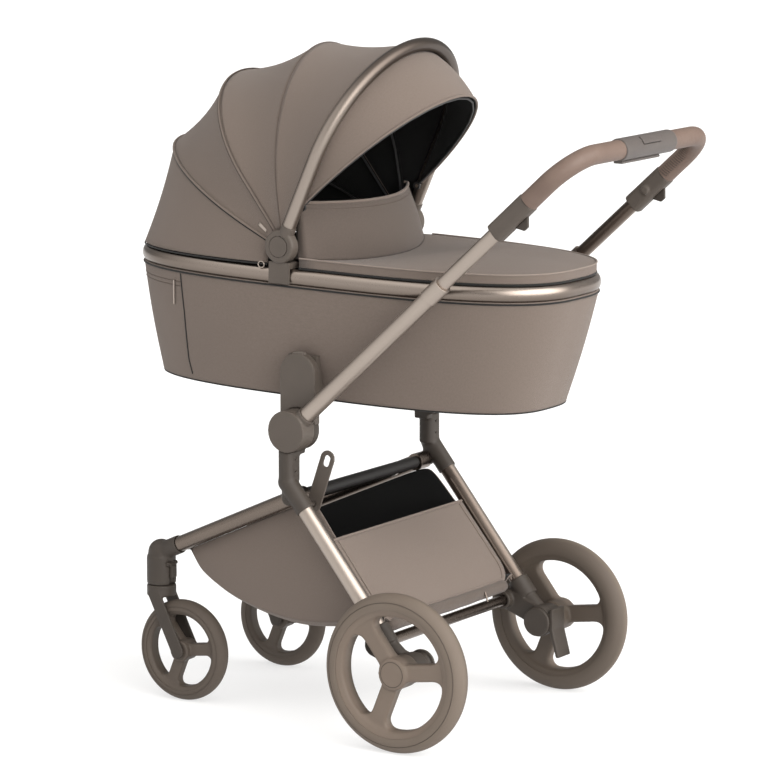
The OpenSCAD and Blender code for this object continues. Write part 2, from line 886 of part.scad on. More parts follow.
// Outline of the basket's side, drawn in by a wall and raised past its mouth by a lift
function basket_side(wall, lift) =
  let (
    front_x = -pivot_ahead + basket_front_share * (swivel_x + pivot_ahead),
    floor_l = basket_rear[0] - front_x,
    drop = basket_top(front_x) - basket_low_z,
    first = basket_floor_shares[0],
    front_slope = first[0] * floor_l / ((1 - first[1]) * drop),
    rear_slope = (basket_rear[0] - lip_back) / (basket_lip_z - basket_rear[2])
  )
  [
    [front_x + wall - lift * front_slope, basket_top(front_x) + lift],
    for (s = basket_floor_shares) [front_x + s[0] * floor_l + s[2] * wall, basket_low_z + s[1] * drop + wall],
    [basket_rear[0] - wall, basket_rear[2] + wall],
    [lip_back - wall - lift * rear_slope, basket_lip_z + lift],
    [-pivot_ahead + basket_peak_share * (lip_back + pivot_ahead), basket_top(-pivot_ahead) + lift]
  ];

// A prism over the basket's side outline inside its plan, drawn in by a wall
module basket_block(wall, lift) {
  front_x = -pivot_ahead + basket_front_share * (swivel_x + pivot_ahead);
  intersection() {
    translate([0, side_y, 0])
      rotate([90, 0, 0])
        linear_extrude(2 * side_y)
          polygon(basket_side(wall, lift));
    linear_extrude(hinge_z)
      polygon([
        [front_x - overrun, -basket_front_half + wall],
        [basket_rear[0] + overrun, -basket_rear_half + wall],
        [basket_rear[0] + overrun, basket_rear_half - wall],
        [front_x - overrun, basket_front_half - wall]
      ]);
  }
}

module basket() {
  color(cloth_colour)
    pram()
      difference() {
        basket_block(0, 0);
        basket_block(basket_wall, basket_depth);
      }
}

// Handle hub: the outer half of the hinge with the socket of a lower tube
module handle_hub(side) {
  color(dark_colour)
    sided(side)
      difference() {
        union() {
          cross_rod(hinge_x, hinge_z, hub_gap_y, hub_outer_y, hinge_d / 2);
          in_handle()
            translate([0, side_y, hinge_d / 4])
              cylinder(h = hub_socket_len - hinge_d / 4, r = hub_socket_r);
        }
        cross_rod(
          hinge_x, hinge_z, hub_gap_y - overrun, hub_outer_y - tube_wall + plate_gap,
          hinge_pin_d / 2 + run_gap
        );
        in_handle()
          translate([0, side_y, lower_tube_start - plate_gap])
            cylinder(h = hub_socket_len, r = lower_tube_r + seat_gap);
      }
}

// Lower handle tube with its end collar
module lower_tube(side) {
  color(metal_colour)
    sided(side)
      in_handle()
        translate([0, side_y, 0])
          difference() {
            union() {
              translate([0, 0, lower_tube_start])
                cylinder(h = lower_tube_end - lower_tube_start, r = lower_tube_r);
              translate([0, 0, lower_tube_end - collar_over])
                cylinder(h = collar_len, r = collar_r);
            }
            translate([0, 0, lower_tube_start - overrun])
              cylinder(h = lower_tube_end + collar_len, r = bar_r + run_gap);
          }
}

// Handle bar: one bent tube that slides in both lower tubes
module handle_bar() {
  start = lower_tube_end - bar_overlap;
  half = side_y - handle_corner_r;
  color(metal_colour)
    pram()
      in_handle()
        union() {
          for (s = [-1, 1])
            mirror([0, s < 0 ? 1 : 0, 0]) {
              handle_bend(bar_r, tube_wall);
              pipe([0, side_y, start], [0, side_y, corner_at], bar_r, tube_wall);
            }
          pipe([0, -half, handle_reach], [0, half, handle_reach], bar_r, tube_wall);
        }
}

// Handle sleeves: moulded sockets at the upper ends of the tubes
module handle_sleeves() {
  color(dark_colour)
    pair()
      in_handle()
        translate([0, side_y, sleeve_start])
          difference() {
            union() {
              linear_extrude(sleeve_len)
                polygon(round_rect(sleeve_t, sleeve_w, sleeve_corner));
              translate([0, -sleeve_w / 2 - sleeve_boss_h, sleeve_len / 2])
                rotate([-90, 0, 0])
                  cylinder(h = sleeve_boss_h + overrun, r = sleeve_boss_r);
            }
            translate([0, 0, -overrun])
              cylinder(h = sleeve_len + 2 * overrun, r = bar_r + seat_gap);
          }
}

// Fin trigger under a handle sleeve
module trigger(side) {
  color(dark_colour)
    sided(side)
      in_handle()
        translate([sleeve_t / 2 + plate_gap, side_y + fin_t / 2, fin_at])
          rotate([90, 0, 0])
            linear_extrude(fin_t)
              polygon([[0, 0], [fin_h, fin_l / 2], [fin_h, fin_l], [0, fin_l * fin_foot_share]]);
}

// Stitched grip over a corner of the bar
module grip(side) {
  grip_r = grip_d / 2;
  wall = grip_r - bar_r - seat_gap;
  leg_from = sleeve_start + sleeve_len + plate_gap;
  half = side_y - handle_corner_r;
  color(grip_colour)
    sided(side)
      in_handle() {
        handle_bend(grip_r, wall);
        pipe([0, side_y, leg_from], [0, side_y, corner_at], grip_r, wall);
        pipe([0, housing_len / 2 + plate_gap, handle_reach], [0, half, handle_reach], grip_r, wall);
      }
}

// Button housing in the middle of the cross bar, with a pocket on its rear side
module button_housing() {
  half = housing_len / 2;
  wall = housing_d / 2 - bar_r - seat_gap;
  color(dark_colour)
    pram()
      in_handle()
        difference() {
          pipe([0, -half, handle_reach], [0, half, handle_reach], housing_d / 2, wall);
          button_block(plate_gap, housing_d);
        }
}

// Block of the handle button, grown by a gap, out to a distance from the bar's axis
module button_block(gap, top) {
  low = bar_r + seat_gap + press_floor - gap;
  translate([-press_w / 2 - gap, -press_l / 2 - gap, handle_reach + low])
    cube([press_w + 2 * gap, press_l + 2 * gap, top - low]);
}

// Button on the rear side of the housing
module handle_button() {
  color(black_colour)
    pram()
      in_handle()
        intersection() {
          button_block(0, housing_d);
          pipe(
            [0, -press_l, handle_reach], [0, press_l, handle_reach], housing_d / 2 + press_up,
            housing_d / 2 + press_up - bar_r - seat_gap - press_down
          );
        }
}

// Front tube with its pivot eye
module front_tube(side) {
  color(metal_colour)
    sided(side)
      difference() {
        union() {
          rod(pivot, knuckle - caster_d / 2 * front_tube_dir, tube_r);
          cross_rod(-pivot_ahead, pivot_z, pivot_y - eye_half, pivot_y + eye_half, eye_r);
        }
        rod(pivot + eye_share * eye_r * front_tube_dir, knuckle, tube_r - tube_wall);
        cross_rod(
          -pivot_ahead, pivot_z, pivot_y - 2 * eye_half, pivot_y + 2 * eye_half, pivot_shaft_d / 2 + run_gap
        );
      }
}

// Cross tube between the front tubes, just ahead of the pivot
module front_cross_tube() {
  at = pivot + 2 * eye_share * eye_r * front_tube_dir;
  half = at[1];
  color(metal_colour)
    pram()
      difference() {
        cross_rod(at[0], at[2], -half, half, cross_tube_d / 2);
        cross_rod(at[0], at[2], -half - overrun, half + overrun, cross_tube_d / 2 - tube_wall);
        for (s = [-1, 1])
          mirror([0, s < 0 ? 1 : 0, 0])
            rod(pivot, knuckle, tube_r + seat_gap);
      }
}

// Knuckle: caster housing on the end of a front tube
module knuckle_body(side) {
  seat = knuckle - caster_d / 2 * front_tube_dir;
  mouth = knuckle - caster_d * front_tube_dir;
  color(dark_colour)
    sided(side)
      difference() {
        union() {
          translate(knuckle)
            sphere(d = caster_d * knuckle_share);
          translate([swivel_x, front_y, swivel_z])
            cylinder(h = knuckle_h - caster_d * (1 - knuckle_share), d = caster_d);
          rod(knuckle, mouth, socket_r);
        }
        rod(seat + seat_gap * front_tube_dir, mouth - overrun * front_tube_dir, tube_r + seat_gap);
        translate([swivel_x, front_y, swivel_z - overrun])
          cylinder(h = stem_h + seat_gap + overrun, d = stem_d + 2 * run_gap);
        cross_rod(lever_x, lever_z, front_y - lever_w, front_y + lever_w, lever_pin_r + run_gap);
        translate([lever_x - lever_t, front_y - lever_w / 2 - plate_gap, swivel_z - overrun])
          cube([caster_d, lever_w + 2 * plate_gap, lever_z - swivel_z + overrun]);
      }
}

// Axis of the swivel lock lever, at the rear of the knuckle
lever_x = swivel_x + caster_d / 2 - lever_pin_r;

// Swivel lock lever in the knuckle's rear slot
module lock_lever(side) {
  color(dark_colour)
    sided(side) {
      cross_rod(lever_x, lever_z, front_y - lever_w + plate_gap, front_y + lever_w - plate_gap, lever_pin_r);
      translate([lever_x - lever_t / 2, front_y - lever_w / 2, lever_z - lever_l])
        cube([lever_t + lever_pin_r, lever_w, lever_l - lever_t / 2]);
    }
}

// Caster fork: stem, crown, two blades and the front axle
module fork(side) {
  axle_x = -wheelbase;
  crown_z = swivel_z - plate_gap;
  color(dark_colour)
    sided(side) {
      translate([swivel_x, front_y, crown_z - crown_h])
        cylinder(h = crown_h, d = caster_d);
      translate([swivel_x, front_y, crown_z - crown_h])
        cylinder(h = crown_h + stem_h, d = stem_d);
      for (s = [-1, 1])
        link(
          [swivel_x, crown_z - blade_drop], [axle_x, front_axle_z],
          front_y + s * blade_y - blade_t / 2, blade_t, blade_w
        );
      cross_rod(axle_x, front_axle_z, front_y - blade_y, front_y + blade_y, front_axle_d / 2);
    }
}

// Rim of a wheel about Y: ring, spokes and hub with a bore from its inner end to bore_end
module rim_body(wheel_d, tyre_w, ring_depth, spoke_w, hub_d, bore_d, inner_l, outer_l, bore_end) {
  ring_r = wheel_d / 2 - ring_depth;
  seat_r = ring_r + ring_depth * rim_share;
  rim_w = tyre_w * rim_width_share;
  edge = ring_depth * rim_share / 3;
  rotate([-90, 0, 0])
    difference() {
      union() {
        rotate_extrude()
          translate([ring_r, 0])
            polygon([
              [0, -rim_w / 2 + edge], [edge, -rim_w / 2], [seat_r - ring_r - seat_gap, -rim_w / 2],
              [seat_r - ring_r - seat_gap, rim_w / 2], [edge, rim_w / 2], [0, rim_w / 2 - edge]
            ]);
        for (k = [0:spoke_count - 1])
          rotate(-spoke_angle - 360 * k / spoke_count)
            translate([0, 0, -rim_w / 3])
              linear_extrude(2 * rim_w / 3)
                polygon(
                  spoke(
                    ring_r + spoke_bite, hub_d / 2 - spoke_bite, spoke_w, ring_depth * corner_share,
                    ring_depth * rim_share, edge / 2
                  )
                );
        translate([0, 0, -inner_l])
          cylinder(h = inner_l + outer_l, d = hub_d);
      }
      translate([0, 0, -inner_l - overrun])
        cylinder(h = inner_l + overrun + bore_end, d = bore_d + 2 * run_gap);
    }
}

// Share of a ring's depth that is rim, the rim's share of the tyre's width, and the spokes' turn
rim_share = 0.3;
rim_width_share = 0.78;
corner_share = 0.42;
spoke_angle = 8;
// Depth to which a spoke's rounded corners run into the ring and the hub
spoke_bite = 0.8;

// Tyre of a wheel about Y
module tyre_body(wheel_d, tyre_w, ring_depth) {
  seat_r = wheel_d / 2 - ring_depth * (1 - rim_share);
  rotate([90, 0, 0])
    rotate_extrude()
      difference() {
        translate([wheel_d / 2 - tyre_w / 2, 0])
          circle(d = tyre_w);
        translate([0, -tyre_w])
          square([seat_r, 2 * tyre_w]);
      }
}

module rear_rim(side) {
  color(tyre_colour)
    sided(side)
      translate([0, rear_y, rear_axle_z])
        rim_body(
          rear_wheel_d, rear_tyre_w, rear_ring_depth, rear_spoke_w, rear_hub_d, rear_axle_d,
          rear_y - barrel_out_y - plate_gap, axle_reach - rear_y + hub_cap_t, axle_reach - rear_y + plate_gap
        );
}

module rear_tyre(side) {
  color(tyre_colour)
    sided(side)
      translate([0, rear_y, rear_axle_z])
        tyre_body(rear_wheel_d, rear_tyre_w, rear_ring_depth);
}

module front_rim(side) {
  color(tyre_colour)
    sided(side)
      translate([-wheelbase, front_y, front_axle_z])
        rim_body(
          front_wheel_d, front_tyre_w, front_ring_depth, front_spoke_w, front_hub_d, front_axle_d,
          front_hub_half, front_hub_half, front_hub_half + overrun
        );
}

module front_tyre(side) {
  color(tyre_colour)
    sided(side)
      translate([-wheelbase, front_y, front_axle_z])
        tyre_body(front_wheel_d, front_tyre_w, front_ring_depth);
}

// Rim band of the cot: rings follow the band's section up its outside and down its inside
module cot_rim() {
  section = [
    [0, rim_low_z + rim_edge], [0, rim_top_z - rim_edge], [rim_edge, rim_top_z],
    [rim_t - rim_edge, rim_top_z], [rim_t, rim_top_z - rim_edge], [rim_t, rim_low_z + rim_edge],
    [rim_t - rim_edge, rim_low_z], [rim_edge, rim_low_z]
  ];
  color(metal_colour)
    pram()
      in_cot()
        skin([for (s = section) oval_ring(rim_a - s[0], rim_b - s[0], s[1])], true);
}

// A ring of the tub: f runs from its base to its top
function tub_ring(f, inset, z) =
  oval_ring(
    base_a + f * (rim_a - tub_inset - base_a) - inset, base_b + f * (rim_b - tub_inset - base_b) - inset, z,
    base_setback * (1 - f)
  );

// Half width of the tub's outside at height z
function tub_half(z) =
  let (low_z = cot_floor_z + base_round)
  base_b + (rim_b - tub_inset - base_b) * (z - low_z) / (rim_low_z - low_z);

// Tub of the cot, open at the top
module cot_tub() {
  top_z = rim_low_z - plate_gap;
  color(cloth_colour)
    pram()
      in_cot()
        skin([
          tub_ring(0, base_round, cot_floor_z),
          tub_ring(0, base_round * base_corner_share, cot_floor_z + base_round * base_corner_share),
          tub_ring(0, 0, cot_floor_z + base_round),
          tub_ring(1, 0, top_z),
          tub_ring(1, tub_wall, top_z),
          tub_ring(0, tub_wall, cot_floor_z + base_round),
          tub_ring(0, tub_wall + base_round / 2, cot_floor_z + floor_t)
        ]);
}

// Mattress with a crown and drawn-in edges
module mattress() {
  low = cot_floor_z + floor_t + soft_gap;
  inset = tub_wall + base_round / 2 + mattress_gap;
  color("#cfc8bf")
    pram()
      in_cot()
        skin([
          for (s = mattress_shares) tub_ring(0, inset + s[0] * mattress_round, low + s[1] * mattress_h)
        ]);
}

// Cot brackets: plates on the tub's sides that stand on the adapters' ledges
module cot_brackets() {
  out_y = adapter_in_y - plate_gap;
  foot_y = tub_half(ledge_top_z) + 2 * soft_gap;
  head_y = tub_half(bracket_top_z) + 2 * soft_gap;
  color(dark_colour)
    pair() {
      translate([hinge_x - bracket_w / 2, 0, 0])
        rotate([90, 0, 90])
          linear_extrude(bracket_w)
            polygon([
              [foot_y, ledge_top_z], [out_y, ledge_top_z], [out_y, bracket_top_z], [head_y, bracket_top_z]
            ]);
      translate([hinge_x - tongue_w / 2, tongue_y, ledge_top_z - tongue_h])
        cube([tongue_w, tongue_t, tongue_h + overrun]);
    }
}

// Hood mounts: blocks on the rim that carry the hood's pins, with a cheek over the rim's outside
module hood_mounts() {
  foot_z = rim_top_z + plate_gap;
  cheek_y = rim_b + plate_gap;
  cheek_z = rim_low_z + cheek_up;
  cap_y = bow_b + hub_disc_t / 2 + plate_gap;
  color(dark_colour)
    pair()
      in_cot() {
        difference() {
          union() {
            translate([axis_x - mount_w / 2, mount_in_y, foot_z])
              cube([mount_w, cheek_y + cheek_t - mount_in_y, mount_foot_h]);
            translate([axis_x - mount_w / 2, cheek_y, cheek_z])
              cube([mount_w, cheek_t, foot_z + mount_foot_h - cheek_z]);
          }
          cross_rod(
            axis_x, axis_z, mount_in_y + mount_t, cheek_y + cheek_t + overrun, hub_disc_d / 2 + plate_gap
          );
        }
        link(
          [axis_x, foot_z + mount_foot_h], [axis_x, axis_z], mount_in_y, mount_t, 2 * rib_eye_r + mount_t / 2
        );
        cross_rod(axis_x, axis_z, mount_in_y, cap_y + overrun, hood_pin_d / 2);
        cross_rod(axis_x, axis_z, cap_y, cap_y + cap_t, cap_r);
      }
}

// Apron: a crowned cover on the rear of the cot, with a band along its edge and a flap at its front
apron_side_count = 30;
apron_front_count = 12;
apron_low_z = rim_top_z + plate_gap;
apron_a = rim_a - apron_inset;
apron_b = rim_b - apron_inset;
apron_shares = [1, 0.97, 0.86, 0.62, 0.34, 0.05];

// Angle at which the apron's oval crosses x
function oval_turn(x) = acos(sign(x) * pow(abs(x) / apron_a, cot_squareness / 2));

// Front edge of the apron at width share u
function apron_edge(u) = apron_front + apron_dip * (1 - u * u);

// Height of the apron above its band at a place in plan
function apron_rise(x, y) =
  let (
    half = max(overrun, oval_half(apron_a, apron_b, min(apron_a, abs(x)))),
    u = min(1, abs(y) / half),
    v = min(1, max(0, (x - apron_front) / (apron_a - apron_front)))
  )
  apron_crown * (1 - pow(u, 3)) * (1 - pow(v, 4));

// Outline of the apron in plan, drawn in by an inset, with 1 along its front edge and 0 elsewhere
function apron_outline(inset) =
  let (
    turn = oval_turn(apron_front),
    half = oval_half(apron_a - inset, apron_b - inset, abs(apron_front))
  )
  concat(
    [
      for (i = [0:apron_side_count])
        let (p = oval_point(apron_a - inset, apron_b - inset, turn * (2 * i / apron_side_count - 1)))
        [p[0], p[1], 0]
    ],
    [
      for (i = [1:apron_front_count - 1])
        let (u = 1 - 2 * i / apron_front_count)
        [apron_edge(u) + inset, u * half, 1]
    ]
  );

// A ring of the apron: its outline shrunk to a share about the apron's middle
function apron_ring(share, inset, drop) =
  let (middle = (apron_front + apron_dip + apron_a) / 2)
  [
    for (p = apron_outline(inset))
      let (x = middle + share * (p[0] - middle), y = share * p[1])
      [x, y, apron_low_z + apron_band_h - drop + apron_rise(x, y)]
  ];

// Lower edge of the apron: on the rim along its band, and a narrow hem along its front
function apron_hem(inset) = [
  for (p = apron_outline(inset))
    [p[0], p[1], apron_low_z + p[2] * (apron_band_h - 2 * apron_t + apron_rise(p[0], p[1]))]
];

// Wind flap: a curved strip that rises from the apron's front edge to a straight top
function flap_grid(back) = [
  for (i = [0:apron_front_count])
    let (
      u = (2 * i / apron_front_count - 1) * flap_share,
      half = oval_half(apron_a, apron_b, abs(apron_front)),
      foot_z = apron_low_z + apron_band_h - apron_t / 2 + apron_rise(apron_edge(u), u * half),
      foot = [apron_edge(u), u * half, foot_z],
      droop = (1 - flap_end_share) * pow(abs(u / flap_share), 8),
      head_z = rim_top_z + flap_h * (1 - droop),
      head = [apron_front + flap_dip * (1 - u * u), u * half * flap_head_share, head_z]
    )
    [
      for (i = [0:flap_count])
        let (h = i / flap_count)
        foot + h * (head - foot) + [back + flap_bulge * sin(180 * h), 0, 0]
    ]
];

module apron() {
  color(cloth_colour)
    pram()
      in_cot() {
        skin(
          concat(
            [for (i = [len(apron_shares) - 1:-1:0]) apron_ring(apron_shares[i], apron_t, apron_t)],
            [apron_hem(apron_t), apron_hem(0)],
            [for (s = apron_shares) apron_ring(s, 0, 0)]
          )
        );
        sheet(flap_grid(0), flap_grid(flap_t));
      }
}

// Share of the way up a hood arch at which each sample lies on its straight leg
arch_leg_shares = [0, 0.5];
arch_count = 8;

// Points of a hood arch across the cot: two legs of length leg and a half ellipse of rise and half width b
function arch_half(b, leg, rise, start) = concat(
  [for (s = arch_leg_shares) [b, start + s * (leg - start)]],
  [for (i = [0:arch_count]) [b * cos(90 * i / arch_count), leg + rise * sin(90 * i / arch_count)]]
);
function arch_whole(half) = concat(half, [for (i = [len(half) - 2:-1:0]) [-half[i][0], half[i][1]]]);

// The arch turned to an angle about the hood's axis, its plane set forward by a setback
function arch_at(points, angle, setback) = [
  for (p = points) [axis_x - setback + p[1] * cos(angle), p[0], axis_z + p[1] * sin(angle)]
];

// Half widths and legs of the cloth along the ribs
rib_b_drops = [eye_pitch * 2 + cloth_t, eye_pitch + cloth_t, cloth_t];
rib_leg_shares = [0.17, 0.4, 0.24];
// Share of a rib's diameter that is wire, and shares of its eye's overlap
rib_wire_share = 0.72;
rib_sink_share = 1.5;

// Cloth arch of rib k, drawn in by an inset
function rib_arch(k, inset) =
  let (
    reach = [rib1_reach, rib2_reach, rib3_reach][k],
    angle = [rib1_angle, rib2_angle, rib3_angle][k],
    leg = reach * rib_leg_shares[k],
    half = arch_half(bow_b - rib_b_drops[k] - inset, leg, reach - leg - inset, cloth_start)
  )
  arch_at(arch_whole(half), angle, k == 0 ? rib1_setback : 0);

// Cloth edge along the bow, set just ahead of its tube
function bow_arch(inset) =
  arch_at(
    arch_whole(arch_half(bow_b - inset, bow_leg, bow_b - inset, cloth_start)), bow_angle,
    (bow_d / 2 + soft_gap) / sin(bow_angle)
  );

// Spread of the samples along the cloth's edge on the rim
rim_edge_share = 1.3;

// Cloth edge on the rim, from one hood mount round the front end to the other
function rim_edge_arch(inset) =
  let (
    a = rim_a - rim_edge - inset,
    b = rim_b - rim_edge - inset,
    n = len(rib_arch(0, 0)),
    from = axis_x - cloth_start
  )
  [
    for (i = [0:n - 1])
      let (
        t = 180 * i / (n - 1),
        x = from - (a + from) * pow(sin(t), rim_edge_share),
        y = oval_half(a, b, min(a, abs(x))) * (t <= 90 ? 1 : -1)
      )
      [x, i == (n - 1) / 2 ? 0 : y, rim_top_z + plate_gap]
  ];

// Hood cover: one cloth from the rim over the ribs to the bow
module hood_cover() {
  outer = [rim_edge_arch(0), rib_arch(0, 0), rib_arch(1, 0), rib_arch(2, 0), bow_arch(0)];
  inner = [
    rim_edge_arch(cloth_t), rib_arch(0, cloth_t), rib_arch(1, cloth_t), rib_arch(2, cloth_t),
    bow_arch(cloth_t)
  ];
  color(cloth_colour)
    pram()
      in_cot()
        sheet(inner, outer);
}

// A wire along a list of points that lie in planes along Y, with six sides
module wire(points, d) {
  n = len(points);
  rings = [
    for (i = [0:n - 1])
      let (
        t = points[min(n - 1, i + 1)] - points[max(0, i - 1)],
        w = t / norm(t),
        out = cross(wire_plane(points), w),
        side = wire_plane(points)
      )
      [for (k = [0:5]) points[i] + d / 2 * (cos(60 * k) * out + sin(60 * k) * side)]
  ];
  skin(rings);
}

// Normal of the plane that a wire lies in
function wire_plane(points) =
  let (
    m = floor(len(points) / 2),
    c = cross(points[m] - points[0], points[len(points) - 1] - points[0])
  )
  c / norm(c);

// Rib k: a wire arch with an eye at each end on the hood's pins
module rib(k) {
  eye_y = hub_in_y - plate_gap - rib_in - (3 - k) * eye_pitch + eye_pitch / 2;
  reach = [rib1_reach, rib2_reach, rib3_reach][k] - cloth_t - rib_d / 2 - soft_gap;
  angle = [rib1_angle, rib2_angle, rib3_angle][k];
  setback = k == 0 ? rib1_setback : 0;
  leg = reach * rib_leg_shares[k];
  from = setback > 0 ? 0 : rib_eye_r - rib_sink_share * soft_gap;
  half = arch_half(eye_y, leg, reach - leg, from);
  color(black_colour)
    pram()
      in_cot() {
        wire(arch_at(arch_whole(half), angle, setback), rib_d * rib_wire_share);
        for (s = [-1, 1])
          difference() {
            union() {
              cross_rod(axis_x, axis_z, s * eye_y - eye_t / 2, s * eye_y + eye_t / 2, rib_eye_r);
              if (setback > 0)
                link(
                  [axis_x, axis_z], [axis_x - setback, axis_z], s * eye_y - eye_t / 2, eye_t,
                  rib_sink_share * rib_d
                );
            }
            cross_rod(axis_x, axis_z, s * eye_y - eye_t, s * eye_y + eye_t, hood_pin_d / 2 + run_gap);
          }
      }
}

// Frame of the main bow: Z runs up from the hood's axis in the bow's plane
module in_bow() {
  pram()
    in_cot()
      translate([axis_x, 0, axis_z])
        rotate([0, 90 - bow_angle, 0])
          children();
}

// Main bow: two legs and a half circle of tube, with hubs and the visor's pins
module main_bow() {
  leg_from = cap_r + run_in;
  color(metal_colour)
    in_bow() {
      translate([0, 0, bow_leg])
        rotate([90, 0, 90])
          rotate_extrude(angle = 180)
            translate([bow_b, 0])
              difference() {
                circle(d = bow_d);
                circle(d = bow_d - 2 * tube_wall);
              }
      for (s = [-1, 1])
        mirror([0, s < 0 ? 1 : 0, 0]) {
          difference() {
            union() {
              translate([0, bow_b, leg_from])
                cylinder(h = bow_leg - leg_from, d = bow_d);
              cross_rod(0, 0, hub_in_y, hub_in_y + hub_disc_t, hub_disc_d / 2);
            }
            translate([0, bow_b, hub_disc_d / 2 + tube_wall])
              cylinder(h = bow_leg, d = bow_d - 2 * tube_wall);
            cross_rod(0, 0, hub_in_y - overrun, hub_in_y + hub_disc_t + overrun, hood_pin_d / 2 + run_gap);
          }
          cross_rod(0, visor_pivot_r, visor_b - visor_eye_t, bow_b - bow_d / 2 + tube_wall, visor_pin_r);
        }
    }
}

// Pivot of the visor in the cot's frame
visor_x = axis_x + visor_pivot_r * cos(bow_angle);
visor_z = axis_z + visor_pivot_r * sin(bow_angle);

// Arch of the visor's front edge, drawn in by an inset
function visor_arch(b, reach, start) = [
  for (p = arch_whole(arch_half(b, start * 1.2, reach - start * 1.2, start)))
    [visor_x + p[1] * cos(visor_angle), p[0], visor_z + p[1] * sin(visor_angle)]
];

// Visor wire: the edge of the visor with an eye at each end
module visor_wire() {
  half_t = visor_eye_t / 2;
  eye_y = visor_b - half_t;
  color(black_colour)
    pram()
      in_cot() {
        wire(visor_arch(eye_y, visor_reach - cloth_t - visor_wire_d, visor_eye_r - soft_gap), visor_wire_d);
        for (s = [-1, 1])
          difference() {
            cross_rod(visor_x, visor_z, s * eye_y - half_t, s * eye_y + half_t, visor_eye_r);
            cross_rod(visor_x, visor_z, s * eye_y - visor_eye_t, s * eye_y + visor_eye_t, visor_bore_r);
          }
      }
}

// Edge of the visor under the bow, drawn in by an inset
function visor_root(inset) =
  let (b = bow_b - bow_d / 2 - plate_gap - inset, leg = bow_leg)
  [
    for (p = arch_whole(arch_half(b, leg, b, visor_pivot_r + visor_eye_r + cloth_t)))
      [axis_x + p[1] * cos(bow_angle), p[0], axis_z + p[1] * sin(bow_angle)]
  ];

// Visor: cloth from the bow to the visor wire
module visor() {
  root_b = bow_b - bow_d / 2 - plate_gap;
  start = visor_eye_r + cloth_t;
  color(cloth_colour)
    pram()
      in_cot()
        sheet(
          [visor_root(cloth_t), visor_arch(root_b - cloth_t, visor_reach - cloth_t, start)],
          [visor_root(0), visor_arch(root_b, visor_reach, start)]
        );
}

rear_leg(-1);  // left_rear_leg
rear_leg(1);  // right_rear_leg
elbow(-1);  // left_elbow
elbow(1);  // right_elbow
axle_housing(-1);  // left_axle_housing
axle_housing(1);  // right_axle_housing
rear_cross_tube();
adapter(-1);  // left_adapter
adapter(1);  // right_adapter
pivot_shaft();
carry_bar();
basket();
adapter_button(-1);  // left_adapter_button
adapter_button(1);  // right_adapter_button
fold_hook();
brake_pedal();
handle_hub(-1);  // left_handle_hub
handle_hub(1);  // right_handle_hub
lower_tube(-1);  // left_lower_tube
lower_tube(1);  // right_lower_tube
handle_bar();
handle_sleeves();
grip(-1);  // left_grip
grip(1);  // right_grip
button_housing();
handle_button();
trigger(-1);  // left_trigger
trigger(1);  // right_trigger
front_tube(-1);  // left_front_tube
front_tube(1);  // right_front_tube
front_cross_tube();
knuckle_body(-1);  // left_knuckle
knuckle_body(1);  // right_knuckle
fork(-1);  // left_fork
fork(1);  // right_fork
lock_lever(-1);  // left_lock_lever
lock_lever(1);  // right_lock_lever
front_rim(-1);  // left_front_rim
front_rim(1);  // right_front_rim
front_tyre(-1);  // left_front_tyre
front_tyre(1);  // right_front_tyre
rear_rim(-1);  // left_rear_rim
rear_rim(1);  // right_rear_rim
rear_tyre(-1);  // left_rear_tyre
rear_tyre(1);  // right_rear_tyre
cot_rim();
cot_tub();
mattress();
cot_brackets();
hood_mounts();
apron();
rib(0);  // rib_1
rib(1);  // rib_2
rib(2);  // rib_3
main_bow();
visor_wire();
hood_cover();
visor();
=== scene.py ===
import json
import math

import bmesh
import bpy
from mathutils import Matrix, Vector

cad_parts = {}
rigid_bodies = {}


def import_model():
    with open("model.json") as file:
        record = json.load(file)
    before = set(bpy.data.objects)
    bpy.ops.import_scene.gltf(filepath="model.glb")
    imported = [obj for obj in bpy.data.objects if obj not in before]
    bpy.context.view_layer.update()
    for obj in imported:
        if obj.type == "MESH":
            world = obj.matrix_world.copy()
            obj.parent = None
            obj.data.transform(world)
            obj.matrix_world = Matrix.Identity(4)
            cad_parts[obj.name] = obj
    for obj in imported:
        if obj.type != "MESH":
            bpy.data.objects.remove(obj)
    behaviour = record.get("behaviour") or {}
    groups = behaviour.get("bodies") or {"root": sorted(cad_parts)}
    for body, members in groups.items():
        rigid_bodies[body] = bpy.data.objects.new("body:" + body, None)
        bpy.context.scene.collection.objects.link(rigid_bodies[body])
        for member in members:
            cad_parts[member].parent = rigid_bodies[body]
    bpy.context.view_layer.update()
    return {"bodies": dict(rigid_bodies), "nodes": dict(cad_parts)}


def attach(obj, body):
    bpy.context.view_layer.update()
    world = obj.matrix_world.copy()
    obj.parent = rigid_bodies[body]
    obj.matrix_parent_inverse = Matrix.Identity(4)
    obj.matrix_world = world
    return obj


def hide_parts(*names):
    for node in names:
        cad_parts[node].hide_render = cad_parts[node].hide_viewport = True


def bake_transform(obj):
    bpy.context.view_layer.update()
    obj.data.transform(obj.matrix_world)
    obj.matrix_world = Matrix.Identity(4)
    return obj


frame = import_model()
nodes = frame["nodes"]

# Studio: a pale seamless floor under a soft dome that is brightest behind the handle, dimmer on the left
# and overhead, and low in between, so that the metal keeps dark bands. The camera stands at the left rear.
camera_place = Vector((4.0391, -6.3669, 1.8668))
camera_target = Vector((-0.03525, 0, 0.59642))

camera_data = bpy.data.cameras.new("camera")
camera_data.lens = 198.4
camera_data.sensor_width = 36
camera = bpy.data.objects.new("camera", camera_data)
camera.location = camera_place
camera.rotation_euler = (camera_target - camera_place).to_track_quat("-Z", "Y").to_euler()
bpy.context.scene.collection.objects.link(camera)
bpy.context.scene.camera = camera
bpy.context.scene.view_settings.view_transform = "Standard"


def link(name, data):
    """Puts new data into the scene as an object at the origin."""
    obj = bpy.data.objects.new(name, data)
    bpy.context.scene.collection.objects.link(obj)
    return obj


